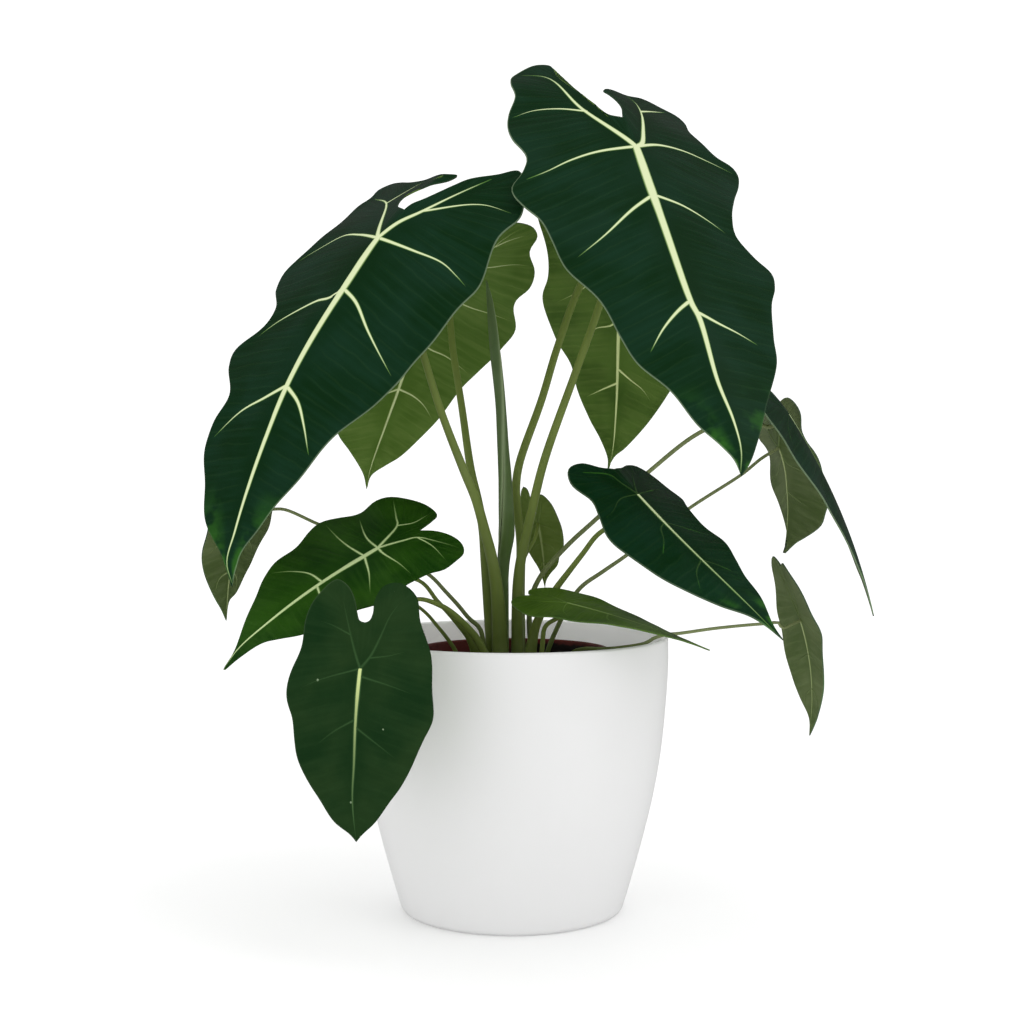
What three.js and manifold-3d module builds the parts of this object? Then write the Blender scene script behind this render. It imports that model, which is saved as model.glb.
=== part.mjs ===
// A potted alocasia: a white outer pot, a plastic nursery pot with soil in it, arrow-shaped
// blades on long petioles, and one new leaf that is still rolled.
// Millimetres, +Z up. The origin is the middle of the outer pot's underside, on the surface
// that it stands on. The front of the plant faces -Y.
import * as THREE from 'three';
import { mergeVertices } from 'three/addons/utils/BufferGeometryUtils.js';
import Module from 'manifold-3d';

const wasm = await Module();
wasm.setup();

// ---- Driving dimensions ------------------------------------------------------------------
const GAP = 0.3; // clearance between pieces that touch on the real plant

const POT_HEIGHT = 167;
const POT_WALL = 3.4;
const POT_FLOOR = 7;
const POT_SIDES = 40;
const POT_RIM_RADIUS = 95;
const POT_RIM_BEVEL = 0.9;
const POT_CORNER = [[66, 3], [63, 0]]; // inside, at the floor: radius, height above the floor
const POT_CORNER_TOP = 10; // where the inside starts to follow the outside, above the floor
// Outside of the pot, from the foot up: radius, height.
const POT_OUTSIDE = [
  [65.5, 0], [68, 2.5], [70, 9], [74, 23], [80, 45], [86, 70],
  [90.5, 96], [93.5, 125], [POT_RIM_RADIUS, 150], [POT_RIM_RADIUS, 165],
];

const LINER_HEIGHT = 151; // the nursery pot, from its own floor to its lip
const LINER_LIP_RADIUS = 60;
const LINER_TOP_RADIUS = 58;
const LINER_FOOT_RADIUS = 44;
const LINER_WALL = 1.2;
const LINER_LIP_HEIGHT = 7;
const DRAIN_HOLES = 5;
const DRAIN_RADIUS = 4;
const DRAIN_RING = 26;
const DRILL_DEPTH = 6;
const DRILL_SIDES = 12;

const SOIL_TOP = 150; // height of the soil at its edge
const SOIL_MOUND = 3; // how much higher it is in the middle
const MOUND_RINGS = [0.9, 0.6, 0.3]; // rings of points on the mound, as shares of its radius
const HOLE_GAP = 0.4; // clearance round a stem in its hole in the soil
const FOOT_DEPTH = 24; // how deep each petiole stands in the soil
const SOIL_EXTRA = 0.1; // added to the gap between the soil and the sloping pot wall

const BLADE_THICKNESS = 0.8;
const CREASE = 2.5; // half the width over which a blade bends at its midrib
const COLUMN_WIDTH = 20; // spacing of a blade's columns of points along the midrib
const FEWEST_COLUMNS = 5;
const LOBE_COLUMNS = 4;
const HOOK_COLUMNS = 7; // in a lobe that hooks inward
const BLADE_ROWS = 2;
const MARGIN_STEPS = 8; // points between two corners of a margin
const MIDRIB_STEPS = 24; // straight steps that a bent midrib is made of
const FIRST_VEIN_SLOPE = 0.3; // of the line from the junction that ends the midrib's columns
const LOBE_RIB = 0.75; // length of a lobe's rib, as a share of the way to the lobe's tip
const WAVE_WIDTH = 0.33; // distance out at which the ripple has its full height, per length
const PETIOLE_SIDES = 8;
const PETIOLE_STEP = 16;
const PETIOLE_TAPER = 3;
const NECK = 14; // length over which a petiole turns into its blade, if a leaf has no neck of its own

// ---- Colours -----------------------------------------------------------------------------
const finish = (color, roughness) => new THREE.MeshStandardMaterial({ color, roughness, metalness: 0 });
const COLOURS = {
  pot: finish(0xe9e8e6, 0.55),
  liner: finish(0x4b2a26, 0.5),
  soil: finish(0x1c1613, 0.95),
  blade: finish(0x183a2c, 0.4),
  petiole: finish(0x74864a, 0.5),
  newLeaf: finish(0x4f7a68, 0.5),
};

// ---- The leaves --------------------------------------------------------------------------
// junction: where the petiole meets the blade. length: from there to the tip.
// heading: compass direction of the tip, 0 = +X and 90 = +Y. turn: how far it swings on the way.
// pitch: slope below level at the junction and at the tip. lobePitch: change in the lobes.
// roll: lift of the right half at the junction. twist: further roll at the tip.
// fold: lift of the left and right halves. sinus: how far back the two lobes stay joined.
// wave: height, length and offset of the ripple at the margin.
// left, right: the margin from the tip to the sinus, as distance along the midrib from the
// junction, and distance out from it. route: the petiole from the soil up, with its
// radius at the foot and at the blade. lobes: the rib of a lobe that hooks inward, whose tip is
// then the corner nearest to the rib's end.
const LEAVES = {
  left_high: {
    junction: [-77, -53, 401], length: 221, heading: -146, turn: 4, pitch: [46, 83], lobePitch: -16,
    roll: 15, twist: 16, fold: [-21, -11], sinus: 25, wave: [1.6, 62, 10],
    left: [[203, 2], [188, 10], [173, 17], [155, 27], [136, 34], [123, 40], [98, 56], [83, 62],
      [62, 66], [33, 73], [3, 74], [-32, 66], [-54, 65], [-77, 50], [-86, 38], [-78, 29], [-65, 17],
      [-56, 13], [-46, 9], [-37, 5], [-30, 1]],
    right: [[205, 9], [187, 26], [167, 34], [148, 44], [132, 45], [115, 42], [97, 57], [87, 60],
      [68, 46], [56, 47], [40, 65], [26, 72], [6, 65], [-12, 66], [-38, 72], [-47, 67], [-56, 69],
      [-62, 63], [-61, 50], [-58, 36], [-58, 22], [-60, 10], [-60, -1], [-63, -9], [-57, -8],
      [-50, -2], [-46, 4], [-44, 12], [-41, 17], [-36, 17], [-30, 13], [-27, 7]],
    lobes: { right: [[-36, 34], [-49, 20], [-52, 10], [-56, -3]] },
    radius: [6.2, 2.1], route: [[-7, -12], [-9, -13, 194], [-12, -15, 214], [-16.5, -17, 232],
      [-21.5, -19, 250], [-28.5, -22, 267], [-42, -32, 303], [-56, -42, 349]],
  },
  right_high: {
    junction: [72, -41, 455], length: 239, heading: -69, turn: -8, pitch: [48, 56], lobePitch: -22,
    roll: -1, twist: -11, fold: [-15, -16], sinus: 28, wave: [1.8, 66, 30],
    left: [[232, 6], [213, 16], [195, 24], [164, 39], [145, 43], [120, 50], [106, 57], [92, 60],
      [80, 53], [64, 47], [48, 50], [30, 59], [8, 73], [-2, 77], [-9, 75], [-16, 64], [-30, 59],
      [-43, 57], [-60, 61], [-68, 58], [-72, 48], [-73, 35], [-68, 20], [-65, 8], [-59, -2],
      [-54, 0], [-48, 3], [-41, 4], [-34, 2]],
    right: [[228, 2], [218, 7], [203, 16], [180, 25], [157, 38], [136, 44], [110, 50], [82, 62],
      [62, 66], [46, 69], [31, 75], [15, 78], [4, 69], [-5, 65], [-22, 69], [-36, 68], [-52, 63],
      [-68, 55], [-84, 53], [-96, 48], [-106, 36], [-109, 28], [-105, 21], [-88, 22], [-70, 19],
      [-51, 13], [-33, 7]],
    lobes: { left: [[-20, 12], [-44, 19], [-56, 12], [-59, 1]] },
    radius: [4.3, 2.2], route: [[3.5, -6], [3.5, -6, 196], [5.4, -6, 213], [12, -6, 243],
      [19.4, -8, 273], [38, -14, 326], [53, -20, 369], [64, -24, 415]],
  },
  back_left: {
    junction: [-48, 62, 386], length: 157, heading: 131, turn: -5, pitch: [52, 65], lobePitch: -8,
    roll: -5, twist: -15, fold: [-3, -7], sinus: 20, wave: [1.6, 54, 0],
    left: [[146, 5], [131, 18], [120, 29], [104, 38], [84, 47], [62, 55], [40, 61], [18, 64],
      [-4, 63], [-26, 58], [-44, 48], [-54, 36], [-52, 24], [-42, 14], [-32, 6]],
    right: [[146, 1], [137, 9], [129, 17], [113, 27], [96, 35], [74, 44], [58, 52], [36, 62],
      [22, 69], [7, 62], [0, 61], [-11, 65], [-23, 64], [-34, 56], [-45, 57], [-52, 50], [-54, 38],
      [-50, 25], [-42, 14], [-32, 6]],
    radius: [5.5, 2.2], route: [[-11, -2], [-14, -2, 188], [-16, -1, 213], [-17.5, 1, 231],
      [-20.8, 5, 249], [-25, 8, 267], [-31, 22, 306], [-37, 38, 342]],
  },
  back_right: {
    junction: [69, 57, 423], length: 185, heading: 82, turn: 20, pitch: [53, 64], lobePitch: -10,
    roll: -16, twist: -1, fold: [4, -7], sinus: 22, wave: [1.6, 58, 20],
    left: [[176, 1], [162, 8], [150, 16], [128, 27], [110, 33], [93, 45], [63, 55], [49, 52],
      [37, 52], [17, 55], [-5, 60], [-30, 60], [-55, 52], [-70, 38], [-72, 26], [-60, 14], [-40, 7]],
    right: [[174, 4], [167, 10], [148, 22], [128, 32], [110, 40], [90, 48], [70, 55], [45, 61],
      [20, 64], [-5, 65], [-30, 63], [-55, 54], [-72, 38], [-74, 27], [-62, 15], [-42, 7]],
    radius: [3.8, 2.3], route: [[5, 20], [5, 18, 193], [5.4, 18, 222], [3.2, 18, 243],
      [2.5, 18, 257], [4.5, 18, 271], [18.5, 24, 311], [28.5, 34, 344], [44, 46, 385]],
  },
  left_mid: {
    junction: [-77, -58, 223], length: 116, heading: -150, turn: 10, pitch: [23, 43], lobePitch: -15,
    roll: 17, twist: -1, fold: [-6, 6], sinus: 28, wave: [1, 40, 0],
    left: [[106, 2], [92, 7], [85, 14], [76, 23], [60, 31], [45, 37], [28, 42], [10, 44], [-8, 41],
      [-19, 44], [-34, 39], [-41, 28], [-41, 17], [-36, 7]],
    right: [[102, 5], [82, 16], [70, 23], [58, 31], [46, 36], [31, 39], [19, 44], [10, 46], [-1, 44],
      [-13, 41], [-24, 44], [-36, 42], [-46, 29], [-47, 12], [-40, 6]],
    radius: [4.4, 1.1], route: [[-21, -15], [-25, -19, 166], [-31, -25, 175], [-38, -32, 184],
      [-44, -37, 191], [-53, -46, 203]],
  },
  front_hanging: {
    junction: [-81, -130, 163], length: 93, heading: -111, turn: 2, pitch: [74, 99], lobePitch: 5,
    roll: 3, twist: 7, fold: [-4, -2], sinus: 25, wave: [1, 38, 0],
    left: [[89, 3.5], [82, 11], [71, 19], [62, 25.5], [50, 32], [36, 37.5], [24, 42], [9, 41.5], [-10, 38],
      [-27, 31.5], [-40, 28], [-47, 18], [-45, 9], [-37, 4.4], [-30, 4], [-26, 2.4]],
    right: [[89, 3], [82, 11.5], [71, 19], [61, 26], [50, 31.5], [39, 34.5], [29, 37], [18, 41], [3, 40],
      [-11, 37], [-26, 35.5], [-38, 31], [-48, 20], [-44, 12], [-37, 7.6], [-30, 5.4], [-26, 3.6]],
    radius: [4, 1], route: [[-14, -25], [-20, -29, 166], [-28, -36, 177], [-36, -45, 185.5],
      [-42, -53, 190], [-53, -70, 195], [-65, -92, 192], [-74, -110, 181]],
  },
  left_small: {
    junction: [-157, -20, 251], length: 77, heading: 153, turn: -8, pitch: [64, 89], lobePitch: -10,
    roll: 0, twist: -4, fold: [2, 2], sinus: 12, wave: [0.8, 32, 0],
    left: [[70, 4], [60, 12], [48, 20], [33, 26], [16, 28], [2, 31], [-12, 30], [-25, 26], [-33, 18],
      [-32, 11], [-24, 5]],
    right: [[65, 2], [61, 7], [50, 14], [43, 19], [29, 25], [19, 30], [5, 32], [-10, 31], [-24, 27],
      [-33, 18], [-32, 11], [-24, 5]],
    radius: [1.9, 1], route: [[-17, -8], [-19, -10, 171], [-26.5, -13, 179], [-32, -15, 186],
      [-40, -17, 195], [-50, -16, 205], [-85, -14, 223], [-116, -14, 235], [-136, -17, 244]],
  },
  centre_small: {
    junction: [16.5, 44, 233], length: 54, heading: 75, turn: 12, pitch: [48, 61], lobePitch: 0,
    roll: 2, twist: -2, fold: [-4, -5], sinus: 8, wave: [0.6, 26, 0],
    left: [[44, 2], [37, 4], [30, 7], [20, 10], [8, 11], [-6, 10], [-18, 8], [-27, 6.5], [-32, 4],
      [-30, 2], [-19, 1]],
    right: [[48, 1], [42, 4], [35, 9], [27, 11], [20, 14], [8, 15], [-6, 14], [-18, 11], [-25, 6.5],
      [-24, 4], [-16, 2]],
    radius: [2, 1.1], route: [[6, 29], [5, 28.5, 190], [7.5, 30, 211]],
  },
  front_low: {
    junction: [32, -54, 191], length: 96, heading: -38, turn: 5, pitch: [8, 17], lobePitch: -6,
    roll: -10, twist: 22, fold: [-4, -4], sinus: 26, wave: [1, 36, 0],
    left: [[91, 1], [81, 4], [69, 8], [55, 12], [42, 16], [29, 19], [13, 21], [-2, 22], [-15, 20],
      [-28, 14], [-33, 8], [-31, 3]],
    right: [[91, 1], [81, 5], [69, 9], [55, 14], [42, 18], [29, 22], [13, 25], [-2, 26], [-15, 23],
      [-28, 16], [-34, 9], [-32, 3]],
    radius: [2.4, 1.3], neck: 5, route: [[17, -31], [18, -35, 165], [19.5, -39, 176]],
  },
  right_mid: {
    junction: [72, -61, 254], length: 130, heading: -48, turn: 0, pitch: [37, 33], lobePitch: -4,
    roll: -4, twist: -14, fold: [-9, -12], sinus: 24, wave: [1, 44, 0],
    left: [[119, 3], [98, 13], [81, 18], [63, 25], [44, 32], [28, 30], [12, 32], [3, 36], [-10, 36],
      [-21, 33], [-30, 26], [-30, 17], [-26, 8]],
    right: [[118, 1], [107, 4], [93, 13], [78, 20], [58, 30], [38, 35], [22, 38], [6, 33], [-5, 30],
      [-21, 34], [-32, 28], [-34, 17], [-27, 7]],
    radius: [5.6, 1.4], route: [[10.5, -18], [14.5, -19, 175], [25.5, -24, 196], [32.5, -28, 206],
      [42, -34, 219], [50, -40, 230]],
  },
  right_far: {
    junction: [166, -11, 301], length: 132, heading: -16, turn: 19, pitch: [57, 77], lobePitch: -50,
    roll: -4.4, twist: -3.5, fold: [-12, -12], sinus: 12, wave: [1, 44, 0],
    left: [[123, 3], [108, 9], [92, 16], [75, 24], [58, 31], [41, 37], [23, 41], [8, 42], [-10, 39],
      [-23, 31], [-31, 22], [-30, 13], [-21, 5]],
    right: [[123, 2], [108, 7], [92, 13], [75, 19], [58, 24], [41, 29], [23, 32], [8, 33],
      [-10, 31], [-23, 24], [-31, 17], [-30, 10], [-21, 4]],
    radius: [2, 1.3], route: [[12, 7], [11, 5, 185], [17, 0, 202], [33, -3, 221], [50, -6, 237],
      [82, -8, 266], [113, -8, 290], [140, -9, 300]],
  },
  right_back: {
    junction: [173, 68, 281], length: 71, heading: 14, turn: 0, pitch: [61, 112], lobePitch: 36,
    roll: 2, twist: 15, fold: [10, 10], sinus: 13, wave: [0.8, 32, 0],
    left: [[63, 1], [53, 7], [43, 17], [33, 28], [20, 33], [6, 38], [-8, 38], [-22, 31], [-30, 21],
      [-29, 12], [-22, 5]],
    right: [[63, 6], [59, 12], [50, 25], [43, 27], [34, 31], [20, 33], [8, 31], [2, 31], [-6, 35],
      [-13, 36], [-22, 35], [-30, 31], [-33, 24], [-30, 14], [-22, 6]],
    radius: [2, 1.1], route: [[20, 1], [28, 3, 172], [41, 8, 194], [56, 14, 204.5], [70, 20, 213.5],
      [111, 36, 242.5], [147, 54, 264]],
  },
  right_low: {
    junction: [176, -1, 176], length: 72, heading: 13, turn: 3, pitch: [71, 99], lobePitch: -5,
    roll: 4, twist: 9, fold: [-9, -6], sinus: 35, wave: [0.8, 32, 0],
    left: [[62, 2], [49, 12], [40, 18], [22, 23], [5, 25], [-14, 20], [-26, 16], [-37, 11], [-42, 6],
      [-39, 2]],
    right: [[64, 4], [51, 10], [35, 15], [19, 20], [5, 25], [-8, 25], [-21, 18], [-31, 12],
      [-38, 6], [-37, 2]],
    radius: [1.6, 1], route: [[36, -20], [36, -20, 158], [42, -23, 161], [52, -27, 161.5],
      [62, -31, 162.5], [79, -33, 165.7], [84, -31.5, 168.4], [90.5, -30, 170.2], [100, -26, 170.7],
      [123, -16, 172.7], [150, -8, 174.3], [163, -4, 174.3]],
  },
  left_hidden: {
    junction: [-84, -36, 209], length: 46, heading: -172, turn: 0, pitch: [30, 45], lobePitch: -10,
    roll: 6, twist: 0, fold: [-6, -6], sinus: 7, wave: [0.5, 24, 0],
    left: [[41, 2], [34, 5], [26, 9], [17, 13], [7, 15], [-3, 15], [-12, 12], [-17, 7], [-13, 3]],
    right: [[41, 2], [34, 5], [26, 9], [17, 13], [7, 15], [-3, 15], [-12, 12], [-17, 7], [-13, 3]],
    radius: [1.9, 1], route: [[-32, -9], [-34, -10, 158], [-39, -12, 166], [-45, -15, 174],
      [-51, -18, 181.5], [-58, -22, 187.5]],
  },
};

const NEW_LEAF = {
  radius: [[0, 3.2], [0.29, 3], [0.36, 4.4], [0.4, 5.3], [0.5, 4.7], [0.6, 3.9], [0.7, 3.5],
    [0.82, 3.7], [0.9, 2.9], [0.96, 1.8], [1, 0.4]],
  route: [[-5, 9], [-5, 8, 194], [-5, 7, 212], [-3.2, 6, 228], [-3.5, 5, 246], [-4, 4, 261],
    [-5.2, 3, 280], [-7, 2, 310], [-10.4, 0, 342], [-13.6, 0, 370], [-15.5, 0, 382]],
};

// ---- Shapes ------------------------------------------------------------------------------
const rad = THREE.MathUtils.degToRad;
const vec = (point) => new THREE.Vector3(...point);

/** A BufferGeometry from vectors and triangles. */
function meshGeometry(points, triangles) {
  const geometry = new THREE.BufferGeometry();
  const numbers = points.flatMap((p) => p.toArray());
  geometry.setAttribute('position', new THREE.Float32BufferAttribute(numbers, 3));
  geometry.setIndex(triangles.flat());
  return geometry;
}

/** A closed geometry as a manifold-3d solid. */
function solid(geometry) {
  const bare = geometry.clone();
  bare.deleteAttribute('normal');
  bare.deleteAttribute('uv');
  const merged = mergeVertices(bare, 1e-4);
  return new wasm.Manifold(new wasm.Mesh({
    numProp: 3,
    vertProperties: new Float32Array(merged.attributes.position.array),
    triVerts: new Uint32Array(merged.index.array),
  }));
}

/** A manifold-3d solid as a geometry. */
function geometryOf(body) {
  const mesh = body.getMesh();
  const geometry = new THREE.BufferGeometry();
  geometry.setAttribute('position', new THREE.BufferAttribute(new Float32Array(mesh.vertProperties), 3));
  geometry.setIndex([...mesh.triVerts]);
  return geometry;
}

/** The largest separate body of a solid. */
function largestBody(body) {
  const bodies = body.decompose();
  return bodies.reduce((best, next) => (next.volume() > best.volume() ? next : best));
}

/** A solid of revolution about +Z from [radius, height] pairs, going up its outside. */
function turned(profile, sides) {
  const geometry = new THREE.LatheGeometry(profile.map(([r, z]) => new THREE.Vector2(r, z)), sides);
  geometry.rotateX(Math.PI / 2);
  return geometry;
}

/** A round tube along points, closed at both ends, with its radius given from 0 to 1. */
function tube(points, radiusAt, sides, step) {
  const curve = new THREE.CatmullRomCurve3(points, false, 'centripetal');
  const steps = Math.ceil(curve.getLength() / step);
  const frames = curve.computeFrenetFrames(steps, false);
  const ring = [];
  for (let i = 0; i <= steps; i += 1) {
    const centre = curve.getPointAt(i / steps);
    for (let k = 0; k < sides; k += 1) {
      const angle = (2 * Math.PI * k) / sides;
      const radius = radiusAt(i / steps);
      ring.push(centre.clone()
        .addScaledVector(frames.normals[i], radius * Math.cos(angle))
        .addScaledVector(frames.binormals[i], radius * Math.sin(angle)));
    }
  }
  const triangles = [];
  for (let i = 0; i < steps; i += 1) {
    for (let k = 0; k < sides; k += 1) {
      const a = i * sides + k;
      const b = i * sides + ((k + 1) % sides);
      triangles.push([a, b, b + sides], [a, b + sides, a + sides]);
    }
  }
  for (let k = 1; k < sides - 1; k += 1) {
    triangles.push([0, k + 1, k]);
    triangles.push([steps * sides, steps * sides + k, steps * sides + k + 1]);
  }
  return meshGeometry(ring, triangles);
}

// ---- Blades ------------------------------------------------------------------------------
/** Directions of a blade at a distance along its midrib: to the tip, to the right, up. */
function bladeFrame(leaf, along) {
  const share = along / leaf.length;
  const [start, end] = leaf.pitch;
  const slope = along >= 0 ? start + (end - start) * share : start - 2 * leaf.lobePitch * share;
  const pitch = rad(slope);
  const heading = rad(leaf.heading + leaf.turn * Math.max(share, 0));
  const level = new THREE.Vector3(Math.cos(heading), Math.sin(heading), 0);
  const tip = level.clone().multiplyScalar(Math.cos(pitch)).setZ(-Math.sin(pitch));
  const up = level.clone().multiplyScalar(Math.sin(pitch)).setZ(Math.cos(pitch));
  const side = tip.clone().cross(up);
  const roll = rad(leaf.roll + leaf.twist * share);
  return {
    tip,
    side: side.clone().multiplyScalar(Math.cos(roll)).addScaledVector(up, Math.sin(roll)),
    up: up.clone().multiplyScalar(Math.cos(roll)).addScaledVector(side, -Math.sin(roll)),
  };
}

/** The midrib's place at a distance along it, which is negative in the lobes. */
function midribPoint(leaf, along) {
  const point = vec(leaf.junction);
  for (let i = 0; i < MIDRIB_STEPS; i += 1) {
    point.addScaledVector(bladeFrame(leaf, (along * (i + 0.5)) / MIDRIB_STEPS).tip, along / MIDRIB_STEPS);
  }
  return point;
}

/** A point of the blade's middle surface: along the midrib, and out to the right of it. */
function bladePoint(leaf, along, out) {
  const { side, up } = bladeFrame(leaf, along);
  const fold = rad(out < 0 ? leaf.fold[0] : leaf.fold[1]);
  const [height, length, offset] = leaf.wave;
  const spread = Math.abs(out) / (WAVE_WIDTH * leaf.length);
  const phase = (2 * Math.PI * (along + offset * Math.sign(out))) / length;
  const ripple = height * spread ** 2 * Math.sin(phase);
  const lift = Math.sin(fold) * (Math.hypot(out, CREASE) - CREASE) + ripple;
  return midribPoint(leaf, along).addScaledVector(side, out * Math.cos(fold)).addScaledVector(up, lift);
}

/** Points at even distances along a line of [along, out] points. */
function evenly(line, count) {
  const lengths = [0];
  for (let i = 1; i < line.length; i += 1) {
    lengths.push(lengths[i - 1] + Math.hypot(line[i][0] - line[i - 1][0], line[i][1] - line[i - 1][1]));
  }
  const total = lengths[line.length - 1];
  const result = [];
  for (let k = 0; k <= count; k += 1) {
    const wanted = (total * k) / count;
    let i = 1;
    while (i < line.length - 1 && lengths[i] < wanted) i += 1;
    const share = (wanted - lengths[i - 1]) / (lengths[i] - lengths[i - 1] || 1);
    result.push([0, 1].map((axis) => line[i - 1][axis] + share * (line[i][axis] - line[i - 1][axis])));
  }
  return result;
}

/** The number of the item for which measure is smallest. */
function smallest(items, measure) {
  const values = items.map(measure);
  return values.indexOf(Math.min(...values));
}

/** The columns of one half blade, each from its rib to the margin, from the tip to the sinus. */
function bladeColumns(leaf, half) {
  const corners = [[leaf.length, 0], ...leaf[half], [-leaf.sinus, 0]];
  const flat = corners.map(([along, out]) => new THREE.Vector3(along, out, 0));
  const curve = new THREE.CatmullRomCurve3(flat, false, 'centripetal');
  const smooth = curve.getPoints(MARGIN_STEPS * (corners.length - 1)).map((p) => [p.x, p.y]);
  const hook = leaf.lobes?.[half];
  const farBack = hook
    ? smallest(corners, ([along, out]) => Math.hypot(along - hook.at(-1)[0], out - hook.at(-1)[1]))
    : smallest(corners, ([along]) => along);
  const lobeTip = MARGIN_STEPS * farBack;
  const firstVein = smooth.findIndex(([along, out]) => along < FIRST_VEIN_SLOPE * out);
  const midribColumns = Math.max(FEWEST_COLUMNS, Math.round(leaf.length / COLUMN_WIDTH));
  const lobeLine = hook ?? [smooth[lobeTip].map((value) => LOBE_RIB * value)];
  const lobeColumns = hook ? HOOK_COLUMNS : LOBE_COLUMNS;
  const margin = [
    ...evenly(smooth.slice(0, firstVein + 1), midribColumns),
    ...evenly(smooth.slice(firstVein, lobeTip + 1), lobeColumns).slice(1),
    ...evenly(smooth.slice(lobeTip), lobeColumns).slice(1),
  ];
  const midrib = evenly([[leaf.length, 0], [0, 0]], midribColumns);
  const lobeRib = evenly([[0, 0], ...lobeLine], lobeColumns);
  const ribs = [...midrib, ...lobeRib.slice(1), ...lobeRib.slice(0, -1).reverse()];
  return margin.map((edge, i) => Array.from({ length: BLADE_ROWS + 1 }, (_, row) => (
    [0, 1].map((axis) => ribs[i][axis] + (row / BLADE_ROWS) * (edge[axis] - ribs[i][axis])))));
}

/** One blade as a closed sheet: two faces with the same triangles, joined at the margin. */
function bladeGeometry(leaf, thickness) {
  const points = [];
  const numbers = new Map();
  const numberOf = ([along, out]) => {
    const key = `${along.toFixed(3)} ${Math.abs(out) < 5e-4 ? '0' : out.toFixed(3)}`;
    if (!numbers.has(key)) {
      numbers.set(key, points.length);
      points.push(bladePoint(leaf, along, out));
    }
    return numbers.get(key);
  };
  const upper = [];
  const addTriangle = (a, b, c) => {
    if (a !== b && b !== c && c !== a) upper.push([a, b, c]);
  };
  const margins = [['left', -1], ['right', 1]].map(([half, sign]) => {
    const columns = bladeColumns(leaf, half)
      .map((column) => column.map(([along, out]) => numberOf([along, sign * out])));
    const lobeTip = columns.length - 1 - (leaf.lobes?.[half] ? HOOK_COLUMNS : LOBE_COLUMNS);
    for (let i = 0; i + 1 < columns.length; i += 1) {
      for (let row = 0; row < BLADE_ROWS; row += 1) {
        const [a, b] = [columns[i][row], columns[i][row + 1]];
        const [d, c] = [columns[i + 1][row], columns[i + 1][row + 1]];
        // The rib and the lobe's tip lie in one line, so the split avoids a flat triangle there.
        const pair = i < lobeTip ? [[a, b, d], [b, c, d]] : [[a, b, c], [a, c, d]];
        pair.forEach(([p, q, r]) => (sign > 0 ? addTriangle(p, r, q) : addTriangle(p, q, r)));
      }
    }
    return columns.map((column) => column[BLADE_ROWS]);
  });

  const sheet = meshGeometry(points, upper);
  sheet.computeVertexNormals();
  const normals = points.map((_, i) => new THREE.Vector3().fromBufferAttribute(sheet.attributes.normal, i));
  const above = points.map((point, i) => point.clone().addScaledVector(normals[i], thickness / 2));
  const below = points.map((point, i) => point.clone().addScaledVector(normals[i], -thickness / 2));
  const count = points.length;
  const triangles = [...upper, ...upper.map(([a, b, c]) => [a + count, c + count, b + count])];
  const rim = [...margins[0], ...margins[1].slice(1, -1).reverse()];
  rim.forEach((a, i) => {
    const b = rim[(i + 1) % rim.length];
    triangles.push([a, a + count, b + count], [a, b + count, b]);
  });
  return meshGeometry([...above, ...below], triangles);
}

// ---- Petioles ----------------------------------------------------------------------------
/** Height of the soil's surface at a distance from the middle. */
const soilHeight = (radius) => SOIL_TOP + SOIL_MOUND * (1 - (radius / LINER_TOP_RADIUS) ** 2);

/** A route whose first point gives only the place in the soil, as vectors with the foot added. */
function fromSoil(route, extraDepth) {
  const [[x, y], ...rest] = route;
  const foot = [x, y, SOIL_TOP - FOOT_DEPTH - extraDepth];
  return [foot, [x, y, SOIL_TOP], ...rest].map(vec);
}

/** A petiole, widest at its sheathed foot. grow makes it larger all round. */
function petioleTube(leaf, grow) {
  const { up } = bladeFrame(leaf, 0);
  const neck = vec(leaf.junction).addScaledVector(up, -(leaf.neck ?? NECK));
  const end = vec(leaf.junction).addScaledVector(up, -BLADE_THICKNESS / 2);
  const [foot, top] = leaf.radius;
  const radiusAt = (share) => top + (foot - top) * (1 - share) ** PETIOLE_TAPER + grow;
  const points = [...fromSoil(leaf.route, grow), neck, end];
  return solid(tube(points, radiusAt, PETIOLE_SIDES, PETIOLE_STEP));
}

/** The petiole cut back to the underside of its own blade. */
function petiole(leaf) {
  const blade = solid(bladeGeometry(leaf, BLADE_THICKNESS + 2 * GAP));
  return largestBody(petioleTube(leaf, 0).subtract(blade));
}

/** The new leaf, rolled up round its own midrib. grow makes it larger all round. */
function newLeaf(grow) {
  const knots = NEW_LEAF.radius;
  const radiusAt = (share) => {
    const i = Math.max(1, knots.findIndex(([at]) => at >= share - 1e-9));
    const [[from, low], [to, high]] = [knots[i - 1], knots[i]];
    return low + ((high - low) * (share - from)) / (to - from) + grow;
  };
  return solid(tube(fromSoil(NEW_LEAF.route, grow), radiusAt, PETIOLE_SIDES, PETIOLE_STEP));
}

// ---- Pots and soil -----------------------------------------------------------------------
function outerPot() {
  const inset = [POT_RIM_BEVEL, POT_WALL - POT_RIM_BEVEL];
  const rim = inset.map((depth) => [POT_RIM_RADIUS - depth, POT_HEIGHT]);
  const inside = POT_OUTSIDE.filter(([, z]) => z > POT_FLOOR + POT_CORNER_TOP)
    .map(([r, z]) => [r - POT_WALL, z]).reverse();
  const corner = POT_CORNER.map(([r, z]) => [r, POT_FLOOR + z]);
  return turned([[0, 0], ...POT_OUTSIDE, ...rim, ...inside, ...corner, [0, POT_FLOOR]], POT_SIDES);
}

const LINER_FLOOR = POT_FLOOR + GAP;

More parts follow.
